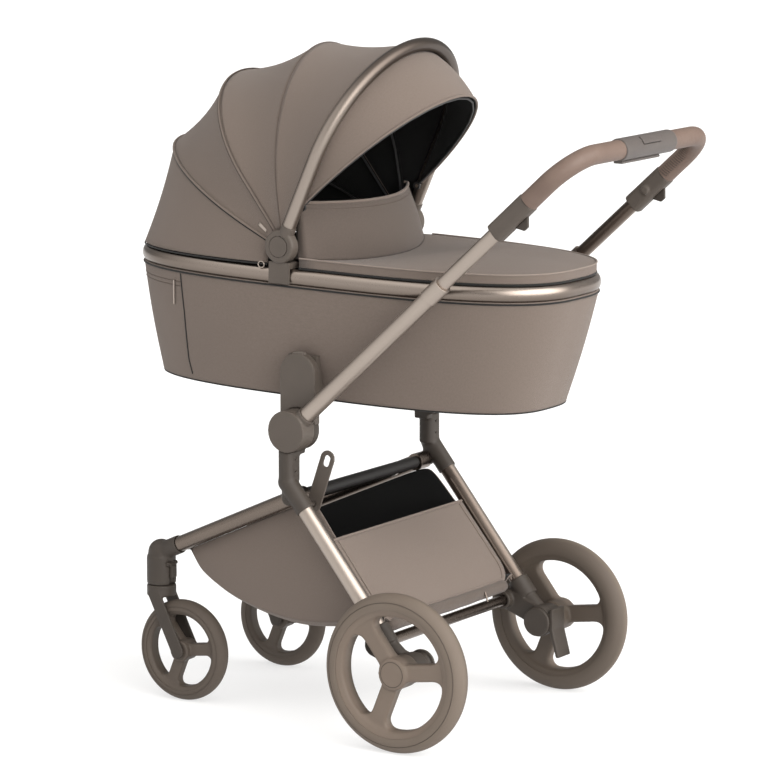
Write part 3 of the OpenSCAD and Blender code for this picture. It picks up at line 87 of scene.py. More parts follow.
class Value:
    """A socket of a node tree that takes part in Python arithmetic."""

    def __init__(self, tree, socket):
        self.tree = tree
        self.socket = socket

    def math(self, operation, *others):
        return self.tree.node("ShaderNodeMath", {"operation": operation}, dict(enumerate((self, *others))))

    def __add__(self, other):
        return self.math("ADD", other)

    def __sub__(self, other):
        return self.math("SUBTRACT", other)

    def __mul__(self, other):
        return self.math("MULTIPLY", other)

    def __rsub__(self, other):
        return self.tree.node("ShaderNodeMath", {"operation": "SUBTRACT"}, {0: other, 1: self})

    __radd__ = __add__
    __rmul__ = __mul__

    def sine(self):
        return self.math("SINE")

    def above(self, level, width):
        """Rises from 0 to 1 over a width that starts at a level."""
        values = {0: self, 1: level, 2: level + width, 3: 0, 4: 1}
        return self.tree.node("ShaderNodeMapRange", {"interpolation_type": "SMOOTHSTEP"}, values)


class Nodes:
    """A node tree to which nodes are added one by one."""

    def __init__(self, tree):
        self.tree = tree

    def node(self, kind, settings, values, output=0):
        node = self.tree.nodes.new(kind)
        for key, value in settings.items():
            setattr(node, key, value)
        for key, value in values.items():
            if isinstance(value, Value):
                self.tree.links.new(value.socket, node.inputs[key])
            else:
                node.inputs[key].default_value = value
        return Value(self, node.outputs[output])

    def place(self, kind="Object"):
        return self.node("ShaderNodeTexCoord", {}, {}, kind)

    def axis(self, place, letter):
        return self.node("ShaderNodeSeparateXYZ", {}, {0: place}, letter)

    def towards(self, place, direction):
        """How far a place lies along a direction."""
        values = {0: place, 1: direction}
        return self.node("ShaderNodeVectorMath", {"operation": "DOT_PRODUCT"}, values, "Value")


class Finish(Nodes):
    """A material. Constants are set on the shader's own sockets, and what varies is fed to it."""

    def __init__(self, name, constants):
        self.material = bpy.data.materials.new(name)
        self.material.use_nodes = True
        super().__init__(self.material.node_tree)
        self.shader = self.tree.nodes["Principled BSDF"]
        for socket, value in constants.items():
            self.shader.inputs[socket].default_value = value

    def noise(self, scale, detail=2, place=None):
        values = {"Vector": place or self.place(), "Scale": scale, "Detail": detail}
        return self.node("ShaderNodeTexNoise", {}, values)

    def blend(self, share, low, high):
        """A colour between two colours."""
        values = {0: share}
        for key, colour in ((6, low), (7, high)):
            values[key] = colour if isinstance(colour, Value) else (*colour, 1)
        return self.node("ShaderNodeMix", {"data_type": "RGBA"}, values, 2)

    def bump(self, height, distance, strength=1.0, normal=None):
        values = {"Height": height, "Distance": distance, "Strength": strength}
        if normal:
            values["Normal"] = normal
        return self.node("ShaderNodeBump", {}, values)

    def soft_edges(self, radius):
        """A normal that rounds sharp edges off."""
        return self.node("ShaderNodeBevel", {"samples": 4}, {"Radius": radius})

    def outside(self, level, width):
        """Rises from 0 to 1 over a width that starts at a distance from the pram's middle plane."""
        return self.axis(self.place(), "Y").math("ABSOLUTE").above(level, width)

    def feed(self, socket, value):
        self.tree.links.new(value.socket, self.shader.inputs[socket])


def piece_of(name, shape, *finishes):
    """Turns a bmesh shape into an object with its finishes."""
    mesh = bpy.data.meshes.new(name)
    shape.to_mesh(mesh)
    shape.free()
    for finish in finishes:
        mesh.materials.append(finish.material)
    return link(name, mesh)


floor_finish = Finish("floor", {"Roughness": 0.9, "Specular IOR Level": 0.0, "Emission Strength": 0.62})
floor_finish.shader.inputs["Emission Color"].default_value = (1, 1, 1, 1)
floor_tone = floor_finish.blend(floor_finish.noise(0.6, 2), (0.4, 0.4, 0.4), (0.42, 0.42, 0.42))
floor_finish.feed("Base Color", floor_tone)
floor_half = 60
floor_shape = bmesh.new()
bmesh.ops.create_grid(floor_shape, x_segments=1, y_segments=1, size=floor_half)
floor = piece_of("floor", floor_shape, floor_finish)

world = bpy.data.worlds.new("studio")
bpy.context.scene.world = world
world.use_nodes = True
dome = Nodes(world.node_tree)
dome_place = dome.place("Generated")
rear_box = dome.towards(dome_place, (0.965, -0.1, 0.24)).above(0.55, 0.4)
left_box = dome.towards(dome_place, (-0.55, -0.76, 0.35)).above(0.5, 0.45)
top_box = dome.towards(dome_place, (0.1, -0.2, 0.97)).above(0.45, 0.5)
brightness = 0.4 + 5.6 * rear_box + 0.7 * left_box + 0.75 * top_box
backdrop = world.node_tree.nodes["Background"]
backdrop.inputs["Color"].default_value = (1, 0.985, 0.962, 1)
world.node_tree.links.new(brightness.socket, backdrop.inputs["Strength"])

# Tubes: aluminium, drawn, bent and anodised in a warm satin bronze. They are cut to length, pushed into
# their mouldings and riveted. The side tubes carry a painted shade on their inner half, and the hood's bow
# over its top.
tube_colour = (0.4, 0.345, 0.303)
tube_shade = (0.34, 0.29, 0.253)
# Colour of the painted shade on the inner halves of the side tubes.
tube_painted_shade = (0.13, 0.103, 0.086)
# Start and width of the painted shade's change from a side tube's inner half to its outer one, and of the
# bow's at its top.
tube_middle, bow_turn = (0.2305, 0.012), (1.05, 0.15)


def anodised(name, low, high, rough, shade=None, lit=None):
    """Satin anodised aluminium with fine drawing grain. It may have a painted shade where its lit share is
    0.
    """
    finish = Finish(name, {"Metallic": 1.0})
    grain = finish.noise(380, 3)
    tone = finish.blend(finish.noise(6, 1), low, high)
    if shade:
        tone = finish.blend(lit(finish), shade, tone)
    finish.feed("Base Color", tone)
    finish.feed("Roughness", rough + 0.1 * grain)
    finish.feed("Normal", finish.bump(grain, 0.00008, 0.5, finish.soft_edges(0.0012)))
    return finish


def paint(finish, *names):
    """Gives CAD nodes a finish."""
    for name in names:
        mesh = nodes[name].data
        mesh.materials.clear()
        mesh.materials.append(finish.material)


def both(*names):
    """The left and right node of each name."""
    return [f"{side}_{name}" for name in names for side in ("left", "right")]


def tube_lit_half(finish):
    """The outer half of the side tubes, which is left out of the painted shade."""
    return finish.outside(*tube_middle)


bronze = anodised("anodised_bronze", tube_shade, tube_colour, 0.36, tube_painted_shade, tube_lit_half)
paint(bronze, *both("rear_leg", "lower_tube"), "handle_bar")

trim = anodised("anodised_trim", tube_shade, tube_colour, 0.3)
dark_bronze = anodised("anodised_dark_bronze", (0.15, 0.122, 0.103), (0.185, 0.152, 0.129), 0.23)
paint(dark_bronze, *both("front_tube"), "front_cross_tube", "pivot_shaft", "rear_cross_tube")


def bow_lit_part(finish):
    """The hood's bow up to where it turns over the top, which is left out of the painted shade."""
    return 1 - finish.axis(finish.place(), "Z").above(*bow_turn)


# The bow is painted darker over its top, as painted shade.
bow_tones, bow_painted_shade = ((0.285, 0.243, 0.211), (0.32, 0.274, 0.24)), (0.095, 0.077, 0.066)
paint(anodised("anodised_bow", *bow_tones, 0.34, bow_painted_shade, bow_lit_part), "main_bow")

# Mouldings: glass-filled nylon in a dark taupe with a fine spark-eroded grain. Each is cast with round
# edges and fillets, so it is skinned from a copy of its solid and relaxed.
# Start and width of the change from a rear wheel's inner half, which carries a painted shade, to its outer
# one.
wheel_middle = (0.268, 0.02)
weld = 0.000005
moulding_low = (0.064, 0.052, 0.043)
moulding_high = (0.084, 0.069, 0.058)


def moulded(name, low, high, rough, inside=None):
    """A matt moulding with a fine grain. A rear wheel's may carry a painted shade on its inner half."""
    finish = Finish(name, {"IOR": 1.46, "Specular IOR Level": 0.3})
    grain = finish.noise(1500, 2)
    tone = finish.blend(finish.noise(25, 3), low, high)
    if inside:
        tone = finish.blend(finish.outside(*wheel_middle), inside, tone)
    finish.feed("Base Color", tone)
    finish.feed("Roughness", rough + 0.12 * grain)
    finish.feed("Normal", finish.bump(grain, 0.00025, 0.35, finish.soft_edges(0.001)))
    return finish


def settle(obj):
    """Applies an object's modifiers to its mesh."""
    graph = bpy.context.evaluated_depsgraph_get()
    mesh = bpy.data.meshes.new_from_object(obj.evaluated_get(graph))
    obj.modifiers.clear()
    obj.data = mesh


def shade_round(mesh):
    """Shades a mesh as one round surface."""
    for polygon in mesh.polygons:
        polygon.use_smooth = True


def relax(piece, voxel, passes):
    """Skins a piece with an even mesh and rounds its edges and inner corners."""
    skin = piece.modifiers.new("skin", "REMESH")
    skin.mode = "VOXEL"
    skin.voxel_size = voxel
    skin.use_smooth_shade = True
    rounding = piece.modifiers.new("rounding", "SMOOTH")
    rounding.factor = 0.5
    rounding.iterations = passes
    settle(piece)
    shade_round(piece.data)


def body_of(name):
    """The body that carries a CAD node."""
    return next(body for body, empty in frame["bodies"].items() if nodes[name].parent == empty)


def cast_from(name, finish, voxel, passes, add=None):
    """A moulding cast from a copy of its solid, with what is added to it."""
    cast = bmesh.new()
    cast.from_mesh(nodes[name].data)
    bmesh.ops.remove_doubles(cast, verts=cast.verts, dist=weld)
    if add:
        add(cast)
    piece = piece_of(f"{name}_casting", cast, finish)
    relax(piece, voxel, passes)
    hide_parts(name)
    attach(piece, body_of(name))
    return piece


moulding = moulded("moulded_taupe", moulding_low, moulding_high, 0.44)
# A darker copy of the taupe moulding, as painted shade, for the elbows, knuckles, forks, levers, triggers,
# axle housings and brake pedal.
painted_shade_moulding = moulded("moulded_taupe_painted_shade", (0.035, 0.028, 0.023), (0.048, 0.039, 0.032), 0.46)
castings = {
    "elbow": (painted_shade_moulding, 0.0015, 28),
    "adapter": (moulding, 0.0014, 8),
    "handle_hub": (moulding, 0.0013, 7),
    "knuckle": (painted_shade_moulding, 0.0015, 40),
    "fork": (painted_shade_moulding, 0.0015, 14),
    "lock_lever": (painted_shade_moulding, 0.0009, 3),
    "trigger": (painted_shade_moulding, 0.0008, 4),
    "axle_housing": (painted_shade_moulding, 0.0015, 7),
}
for part, (finish, voxel, passes) in castings.items():
    for name in both(part):
        cast_from(name, finish, voxel, passes)
cast_from("fold_hook", moulding, 0.001, 3)
cast_from("brake_pedal", painted_shade_moulding, 0.0013, 6)
cast_from("handle_sleeves", moulding, 0.0014, 6)
paint(moulding, "cot_brackets", "hood_mounts")

button_finish = moulded("moulded_button", (0.1, 0.085, 0.073), (0.12, 0.102, 0.088), 0.4)
for name in both("adapter_button"):
    cast_from(name, button_finish, 0.0008, 3)

black_plastic = moulded("moulded_black", (0.012, 0.011, 0.011), (0.02, 0.018, 0.017), 0.42)
paint(black_plastic, "carry_bar")

rib_wire = Finish("coated_wire", {"IOR": 1.5})
wire_coat = rib_wire.noise(260, 3)
rib_wire.feed("Base Color", rib_wire.blend(wire_coat, (0.008, 0.008, 0.008), (0.018, 0.017, 0.017)))
rib_wire.feed("Roughness", 0.45 + 0.2 * wire_coat)
paint(rib_wire, "rib_1", "rib_2", "rib_3", "visor_wire")

# Wheels: a smooth foam tyre pressed on a moulded three-spoke rim, both coloured through in a warm taupe,
# the tyre duller than the rim. The rim's ring carries the tyre's round section on inwards. The front wheels
# are darker, and the inner halves of the rear ones carry a painted shade.
pram_shift = 0.171049
tyre_low = (0.11, 0.086, 0.068)
tyre_high = (0.13, 0.103, 0.082)


def foam(name, low, high, inside=None):
    """Closed foam with a dull skin. A rear tyre's may carry a painted shade on its inner half."""
    finish = Finish(name, {"IOR": 1.4})
    skin = finish.noise(900, 3)
    tone = finish.blend(finish.noise(14, 4), low, high)
    if inside:
        tone = finish.blend(finish.outside(*wheel_middle), inside, tone)
    finish.feed("Base Color", tone)
    finish.feed("Roughness", 0.62 + 0.2 * skin)
    finish.feed("Normal", finish.bump(skin, 0.0003, 0.3))
    return finish


# Colour of the painted shade on the inner halves of the rear wheels.
wheel_painted_shade = (0.078, 0.061, 0.048)
paint(foam("foam_tyre", tyre_low, tyre_high, wheel_painted_shade), *both("rear_tyre"))
paint(foam("foam_tyre_small", (0.064, 0.05, 0.04), (0.08, 0.063, 0.05)), *both("front_tyre"))


def ring_of(centre, reach, inner, half):
    """Adds a rim's round ring, whose section stands at a reach from the axle and swells inwards."""

    def add(cast):
        section = bmesh.ops.create_circle(cast, segments=28, radius=1)["verts"]
        for vert in section:
            inward = inner if vert.co.x < 0 else inner / 3
            vert.co = centre + Vector((reach + vert.co.x * inward, vert.co.y * half, 0))
        edges = list({edge for vert in section for edge in vert.link_edges})
        turn = {"cent": centre, "axis": (0, 1, 0), "angle": 2 * math.pi, "steps": 96, "use_merge": True}
        bmesh.ops.spin(cast, geom=section + edges, **turn)
        bmesh.ops.remove_doubles(cast, verts=cast.verts, dist=weld)

    return add


rim = moulded("moulded_rim", (0.13, 0.1, 0.079), (0.152, 0.119, 0.095), 0.46, wheel_painted_shade)
small_rim = moulded("moulded_small_rim", (0.066, 0.052, 0.042), (0.082, 0.065, 0.052), 0.46)


def piping(name, lines, radius, finish, body, closed=False):
    """Thin round edges, threads or cords along lines of points, as one piece."""
    curve = bpy.data.curves.new(name, "CURVE")
    curve.dimensions = "3D"
    curve.bevel_depth = radius
    curve.bevel_resolution = 2
    curve.use_fill_caps = True
    for line in lines:
        spline = curve.splines.new("POLY")
        spline.points.add(len(line) - 1)
        spline.use_cyclic_u = closed
        for knot, point in zip(spline.points, line):
            knot.co = (*point, 1)
    wire = link(name, curve)
    graph = bpy.context.evaluated_depsgraph_get()
    mesh = bpy.data.meshes.new_from_object(wire.evaluated_get(graph))
    bpy.data.objects.remove(wire)
    shade_round(mesh)
    mesh.materials.clear()
    mesh.materials.append(finish.material)
    edge = link(name, mesh)
    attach(edge, body)
    return edge


def face_line(mesh, hub, side, reach):
    """A circle on the outer face of a wheel's mesh at a reach from its axle."""
    out, near = 0.0, 0.003
    for vert in mesh.vertices:
        away = vert.co - hub
        if abs(math.hypot(away.x, away.z) - reach) < near:
            out = max(out, side * away.y)
    turns = [2 * math.pi * i / 90 for i in range(90)]
    return [hub + Vector((reach * math.cos(t), side * (out - 0.0001), reach * math.sin(t))) for t in turns]


mould_line = moulded("mould_line", (0.056, 0.044, 0.035), (0.068, 0.053, 0.043), 0.6)


def wheel(kind, side, hub, finish, voxel, passes, ring, lines):
    """A rim cast with its ring, and the lines of its hub cap and its bead."""
    word = "left" if side < 0 else "right"
    casting = cast_from(f"{word}_{kind}_rim", finish, voxel, passes, ring_of(hub, *ring))
    bead = nodes[f"{word}_{kind}_tyre"].data
    circles = [face_line(casting.data, hub, side, lines[0]), face_line(bead, hub, side, lines[1])]
    body = body_of(f"{word}_{kind}_rim")
    piping(f"{word}_{kind}_wheel_lines", circles, 0.0006, mould_line, body, closed=True)


wheelbase = 0.538
rear_out, rear_r, front_out, front_r = 0.2815, 0.1425, 0.162, 0.094
rear_ring, rear_lines = (0.1205, 0.0178, 0.0208), (0.0225, 0.1285)
front_ring, front_lines = (0.0765, 0.0094, 0.0166), (0.015, 0.0825)
for side in (-1, 1):
    rear_hub = Vector((pram_shift, side * rear_out, rear_r))
    wheel("rear", side, rear_hub, rim, 0.0018, 22, rear_ring, rear_lines)
    front_hub = Vector((pram_shift - wheelbase, side * front_out, front_r))
    wheel("front", side, front_hub, small_rim, 0.0014, 20, front_ring, front_lines)

# Grips: grained leather sewn round the bar's corners, with a row of lacing on the inside. The middle of the
# bar is covered by a grey housing with a press button and a finger rail below it.
leather_low = (0.102, 0.065, 0.05)
leather_high = (0.145, 0.101, 0.08)

leather = Finish("tan_leather", {"IOR": 1.45})
leather_cells = leather.node("ShaderNodeTexVoronoi", {}, {"Vector": leather.place(), "Scale": 620.0})
leather_grain = leather.noise(260, 4)
leather.feed("Base Color", leather.blend(leather.noise(30, 4), leather_low, leather_high))
leather.feed("Roughness", 0.46 + 0.22 * leather_grain)
leather.feed("Normal", leather.bump(leather_cells + leather_grain, 0.0004, 0.45))
paint(leather, *both("grip"))

housing_grey = moulded("moulded_grey", (0.077, 0.066, 0.061), (0.092, 0.08, 0.074), 0.4)
cast_from("button_housing", housing_grey, 0.0013, 4)
cast_from("handle_button", housing_grey, 0.0008, 3)

handle_slope, hinge_back, hinge_z = math.radians(42.2), -0.248, 0.543
handle_turn = Matrix.Rotation(math.pi / 2 - handle_slope, 4, "Y")
handle_frame = Matrix.Translation((pram_shift + hinge_back, 0, hinge_z)) @ handle_turn
bar_side, bar_reach, corner_r, grip_r = 0.239, 0.773, 0.07, 0.0175
lacing_start, stitch_count, stitch_pitch, stitch_slant = 0.661, 26, 0.0047, 0.0042


def lacing(side):
    """Slanted stitches along the inside of a grip, from its lower end round the corner."""
    strokes = []
    lace_r = grip_r + 0.0002
    for i in range(stitch_count):
        along = lacing_start + stitch_pitch * i
        bend = max(0, along - (bar_reach - corner_r)) / (corner_r - grip_r)
        across = bar_side - corner_r + corner_r * math.cos(bend)
        up = min(along, bar_reach - corner_r) + corner_r * math.sin(bend)
        stroke = []
        for k in range(5):
            turn = k / 4 - 0.5
            slant = stitch_slant * turn
            inward = lace_r * math.cos(turn)
            x = lace_r * math.sin(turn)
            y = across - inward * math.cos(bend) + slant * math.sin(bend)
            z = up - inward * math.sin(bend) + slant * math.cos(bend)
            stroke.append(handle_frame @ Vector((x, side * y, z)))
        strokes.append(stroke)
    return strokes


thread = Finish("waxed_thread", {"IOR": 1.45})
thread_twist = thread.noise(1400, 2)
thread.feed("Base Color", thread.blend(thread_twist, (0.05, 0.036, 0.028), (0.085, 0.062, 0.049)))
thread.feed("Roughness", 0.5 + 0.2 * thread_twist)
for name, side in (("left_grip_lacing", -1), ("right_grip_lacing", 1)):
    piping(name, lacing(side), 0.0009, thread, "handle_upper")

rail_size, rail_round = (0.019, 0.132, 0.005), 0.0022
rail_offset = Vector((-0.001, -0.02, -0.0215))
rail = bmesh.new()
bmesh.ops.create_cube(rail, size=1)
bmesh.ops.scale(rail, vec=rail_size, verts=rail.verts)
rail_edges = {"affect": "EDGES", "segments": 3, "profile": 0.5, "material": -1}
bmesh.ops.bevel(rail, geom=list(rail.edges), offset=rail_round, **rail_edges)
bar_middle = handle_frame @ Vector((0, 0, bar_reach))
bmesh.ops.translate(rail, vec=bar_middle + rail_offset, verts=rail.verts)
finger_rail = piece_of("finger_rail", rail, housing_grey)
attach(finger_rail, "handle_upper")

# Cot tub: melange cloth over a stiff shell, closed below by a black base and above by the metal rim band.
# Its front end is a cover with two zips and a double seam, and a metal pull hangs from the zip.
cloth_low = (0.12, 0.094, 0.079)
cloth_high = (0.147, 0.117, 0.099)
yarn = 0.0011


def woven(name, low, high, rough=0.82):
    """Melange cloth: warp and weft threads along the piece's own map, with flecks of lighter yarn."""
    finish = Finish(name, {"Sheen Weight": 0.1, "Sheen Roughness": 0.5, "Specular IOR Level": 0.22})
    where = finish.place("UV")
    warp = (finish.axis(where, "X") * (2 * math.pi / yarn)).sine()
    weft = (finish.axis(where, "Y") * (2 * math.pi / yarn)).sine()
    flecks = finish.noise(700, 3, where)
    mottle = finish.noise(230, 2, where)
    patches = finish.noise(7, 3)
    share = (flecks * 0.8 + mottle * 0.5 + patches * 0.2 - 0.25).above(0.15, 0.7)
    finish.feed("Base Color", finish.blend(share, low, high))
    finish.feed("Roughness", rough + 0.1 * flecks)
    finish.feed("Normal", finish.bump(warp * weft + 1.6 * flecks, 0.00022, 0.5))
    return finish


def braided(name, low, high):
    """Piping and thread: a fine twist that runs through the piece's own space."""
    finish = Finish(name, {"Sheen Weight": 0.1, "Specular IOR Level": 0.22})
    twist = finish.noise(900, 3)
    finish.feed("Base Color", finish.blend(twist, low, high))
    finish.feed("Roughness", 0.75 + 0.15 * twist)
    finish.feed("Normal", finish.bump(twist, 0.0003, 0.5))
    return finish


cloth = woven("melange_cloth", cloth_low, cloth_high)
# A darker copy of the cloth, as painted shade, for the wind flap and the basket's roll.
shaded_cloth = woven("melange_cloth_painted_shade", (0.074, 0.058, 0.049), (0.092, 0.073, 0.062))
lining = woven("black_lining", (0.0025, 0.0025, 0.0025), (0.005, 0.0048, 0.0048))
braid = braided("cloth_piping", cloth_low, cloth_high)
pale_braid = braided("pale_piping", (0.16, 0.128, 0.109), (0.2, 0.162, 0.139))
black_braid = braided("black_piping", (0.006, 0.006, 0.006), (0.014, 0.013, 0.012))

cot_tilt, cot_back, cot_seat = math.radians(1.15), -0.244, 0.638
cot_frame = (
    Matrix.Translation((pram_shift + cot_back, 0, cot_seat))
    @ Matrix.Rotation(cot_tilt, 4, "Y")
    @ Matrix.Translation((0, 0, -cot_seat))
)
squareness = 2.85
oval_power = 2 / squareness
rim_a, rim_b = 0.446, 0.215
rim_top, rim_low = 0.826, 0.796
floor_z = 0.592


def in_cot(x, y, z):
    """A point given in the cot's own frame."""
    return cot_frame @ Vector((x, y, z))


def oval(a, b, angle):
    """A point of the cot's squared oval."""
    c, s = math.cos(angle), math.sin(angle)
    return a * math.copysign(abs(c) ** oval_power, c), b * math.copysign(abs(s) ** oval_power, s)


def cloth_sheet(name, surface, across, along, size, materials, flip=False):
    """A sheet laid on a surface of two shares from 0 to 1, with a map in metres of its cut size."""
    sheet = bmesh.new()
    bmesh.ops.create_grid(sheet, x_segments=across, y_segments=along, size=0.5, calc_uvs=True)
    cut = sheet.loops.layers.uv.verify()
    for face in sheet.faces:
        for loop in face.loops:
            u, v = loop.vert.co.x + 0.5, loop.vert.co.y + 0.5
            loop[cut].uv = (u * size[0], v * size[1])
    for vert in sheet.verts:
        vert.co = surface(vert.co.x + 0.5, vert.co.y + 0.5)
    bmesh.ops.remove_doubles(sheet, verts=sheet.verts, dist=0.00005)
    if flip:
        bmesh.ops.reverse_faces(sheet, faces=sheet.faces)
    for face in sheet.faces:
        face.smooth = True
    return piece_of(name, sheet, *materials)


def thicken(obj, wall, lined=True):
    """Gives a sheet its thickness on the inside, with its second finish there."""
    solid = obj.modifiers.new("wall", "SOLIDIFY")
    solid.thickness = wall
    solid.offset = -1
    solid.use_even_offset = False
    solid.material_offset = 1 if lined else 0
    settle(obj)


cot_up = (math.sin(cot_tilt), 0, math.cos(cot_tilt))
# Start and width of the change along the rim band, from the painted shade of its front end to the painted
# light along the rest.
rim_front, rim_drop, rim_inner = (-0.48, 0.25), 0.0016, 0.003


def rim_lit_share(finish):
    """The painted highlight on the upper half of the rim band, measured square to the tilted rim. It fades
    out into painted shade at the front end.
    """
    upper = finish.towards(finish.place(), cot_up).above(rim_low - rim_drop, rim_top - rim_low)
    return upper * finish.axis(finish.place(), "X").above(*rim_front)


# The rim band is painted lighter on its upper half and darker below it and at its front end: painted light
# and shade.
rim_painted_shade = (0.145, 0.117, 0.098)
rim_tones = (0.3, 0.253, 0.22), (0.34, 0.29, 0.254)
rim_sheen = anodised("anodised_rim_band", *rim_tones, 0.24, rim_painted_shade, rim_lit_share)
rim_middle, rim_swell, rim_depth = (rim_top + rim_low) / 2, (rim_top - rim_low) / 2, 0.011


def rim_surface(u, v):
    """The rim band: a swollen section carried round the cot's oval."""
    around = 2 * math.pi * v
    out = (rim_depth if math.cos(around) > 0 else rim_inner) * math.cos(around)
    up = rim_swell * math.sin(around)
    x, y = oval(rim_a - rim_depth + out, rim_b - rim_depth + out, 2 * math.pi * u)
    return in_cot(x, y, rim_middle + up)


rim_band = cloth_sheet("cot_rim_band", rim_surface, 240, 40, (2.1, 0.07), [rim_sheen])
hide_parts("cot_rim")
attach(rim_band, "cot")


def smooth(share):
    """Eases a share from 0 to 1."""
    share = min(1, max(0, share))
    return share * share * (3 - 2 * share)


base_a, base_b, base_back = 0.399, 0.179, -0.009
base_round, base_lift, base_dish = 0.007, 0.0006, 0.0022
tub_top, corner_share, tub_bulge = 0.7975, 0.12, 0.0025
rim_inset = 0.003


def tub_point(angle, height, inset=0.0):
    """A point of the tub's outside at a height share between its base and the rim."""
    a = base_a + (rim_a - rim_inset - base_a) * height - inset
    b = base_b + (rim_b - rim_inset - base_b) * height - inset
    x, y = oval(a, b, angle)
    z = floor_z + base_round + (tub_top - floor_z - base_round) * height
    return x + base_back * (1 - height), y, z


def on_tub(degrees, height, out=0.0):
    """A point on the tub's cloth, a little out from it."""
    bulge = tub_bulge * math.sin(math.pi * height)
    return in_cot(*tub_point(math.radians(degrees), height, -bulge - out))


def tub_surface(u, v):
    """The tub from its base edge, round the lower corner and up the side."""
    if v < corner_share:
        turn = math.pi / 2 * (1 - v / corner_share)
        x, y, z = tub_point(2 * math.pi * u, 0, base_round * (1 - math.cos(turn)))
        return in_cot(x, y, z - base_round * math.sin(turn))
    return on_tub(360 * u, (v - corner_share) / (1 - corner_share))


tub_cut = (2.24, 0.217)
tub = cloth_sheet("cot_tub_cloth", tub_surface, 200, 30, tub_cut, [cloth, lining])
thicken(tub, 0.006)
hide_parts("cot_tub")
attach(tub, "cot")


def base_surface(u, v):
    """The black base under the tub, slightly dished."""
    x, y = oval((base_a - base_round) * v, (base_b - base_round) * v, 2 * math.pi * u)
    return in_cot(x + base_back, y, floor_z + base_lift - base_dish * (1 - v**6))


base = cloth_sheet("cot_base", base_surface, 120, 8, (1.7, 0.19), [lining, lining], flip=True)
thicken(base, -0.004, lined=False)
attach(base, "cot")

round_tub = [360 * i / 160 for i in range(160)]
base_line = []
for degrees in round_tub:
    x, y, _ = tub_point(math.radians(degrees), 0, 0.0026)
    base_line.append(in_cot(x, y, floor_z + 0.0012))
piping("cot_base_edge", [base_line], 0.0017, black_braid, "cot", closed=True)
top_line = [on_tub(degrees, 0.985, 0.0005) for degrees in round_tub]
piping("cot_rim_shadow", [top_line], 0.0018, black_braid, "cot", closed=True)

zip_places = [(238.5, 0.97), (238.2, 0.76), (238.0, 0.61), (237.2, 0.41), (236.0, 0.16), (236.5, 0.0)]


def between(places, steps):
    """Even steps along a line of places, up to the last place but not onto it."""
    for (u0, v0), (u1, v1) in zip(places, places[1:]):
        for k in range(steps):
            yield u0 + (u1 - u0) * k / steps, v0 + (v1 - v0) * k / steps


zip_lines = []
for mirror in (False, True):
    line = []
    for degrees, height in between(zip_places, 6):
        line.append(on_tub(360 - degrees if mirror else degrees, height, 0.0002))
    zip_lines.append(line)
piping("cot_zips", zip_lines, 0.0013, black_braid, "cot")
seam_lines = [[on_tub(122 + i, height, 0.0001) for i in range(117)] for height in (0.85, 0.89)]
piping("cot_front_seams", seam_lines, 0.0007, thread, "cot")
pull_line = [on_tub(235.5 - 1.7 * k / 8, 0.9 - 0.23 * k / 8, 0.0028) for k in range(9)]
piping("cot_zip_pull", [pull_line], 0.0017, trim, "cot")

# Mattress: a flat foam pad in a plain pale cover that lies on the cot's base. The pad is let swell against
# its cover, so that its top is crowned and its sides draw in.
pad_a, pad_b, pad_low, pad_h = 0.376, 0.156, 0.608, 0.034
pad_crown, pad_swell, pad_under, pad_edge = 0.01, 0.004, 0.3, 0.5
pad_voxel, pad_pressure, pad_steps = 0.006, 4.0, 20


def mattress_surface(u, v):
    """A crowned pad: up its side, over its top, and closed below."""
    angle = 2 * math.pi * u
    if v < pad_under:
        reach, height = v / pad_under, 0.0
    elif v < pad_edge:
        reach, height = 1.0, (v - pad_under) / (pad_edge - pad_under)
    else:
        reach, height = 1 - (v - pad_edge) / (1 - pad_edge), 1.0
    swell = pad_swell * math.sin(math.pi * height)
    x, y = oval(pad_a * reach + swell, pad_b * reach + swell, angle)
    z = pad_low + pad_h * height + (pad_crown * (1 - reach**3) if v > pad_edge else 0)
    return in_cot(x + base_back, y, z)


def swollen(pad, cap):
    """Lets a closed pad swell under pressure, with no point moved further than a cap."""
    skin = pad.modifiers.new("skin", "REMESH")
    skin.mode = "VOXEL"
    skin.voxel_size = pad_voxel
    settle(pad)
    before = [vert.co.copy() for vert in pad.data.vertices]
    press = pad.modifiers.new("press", "CLOTH")
    press.settings.use_pressure = True
    press.settings.uniform_pressure_force = pad_pressure
    press.settings.effector_weights.gravity = 0.0
    press.settings.quality = 4
    press.point_cache.frame_start = 1
    press.point_cache.frame_end = pad_steps
    for step in range(1, pad_steps + 1):
        bpy.context.scene.frame_set(step)
    settle(pad)
    bpy.context.scene.frame_set(1)
    for vert, start in zip(pad.data.vertices, before):
        moved = vert.co - start
        if moved.length > cap:
            vert.co = start + moved.normalized() * cap
    finer = pad.modifiers.new("finer", "SUBSURF")
    finer.levels = 1
    finer.render_levels = 1
    settle(pad)
    shade_round(pad.data)


pale_cloth = braided("mattress_cover", (0.5, 0.46, 0.41), (0.62, 0.58, 0.53))
mattress = cloth_sheet("mattress_pad", mattress_surface, 96, 30, (1.6, 0.24), [pale_cloth])
swollen(mattress, pad_swell)
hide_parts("mattress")
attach(mattress, "cot")

# Hood: one lined cloth sewn in panels over three wires and clipped to the metal bow. Each panel is drawn
# between the two wires that hold it. A thick piping, a double line and a fine line cover the three seams.
hood_axis = (-0.0475, 0.865)
hood_centre = Vector((hood_axis[0], 0, hood_axis[1]))
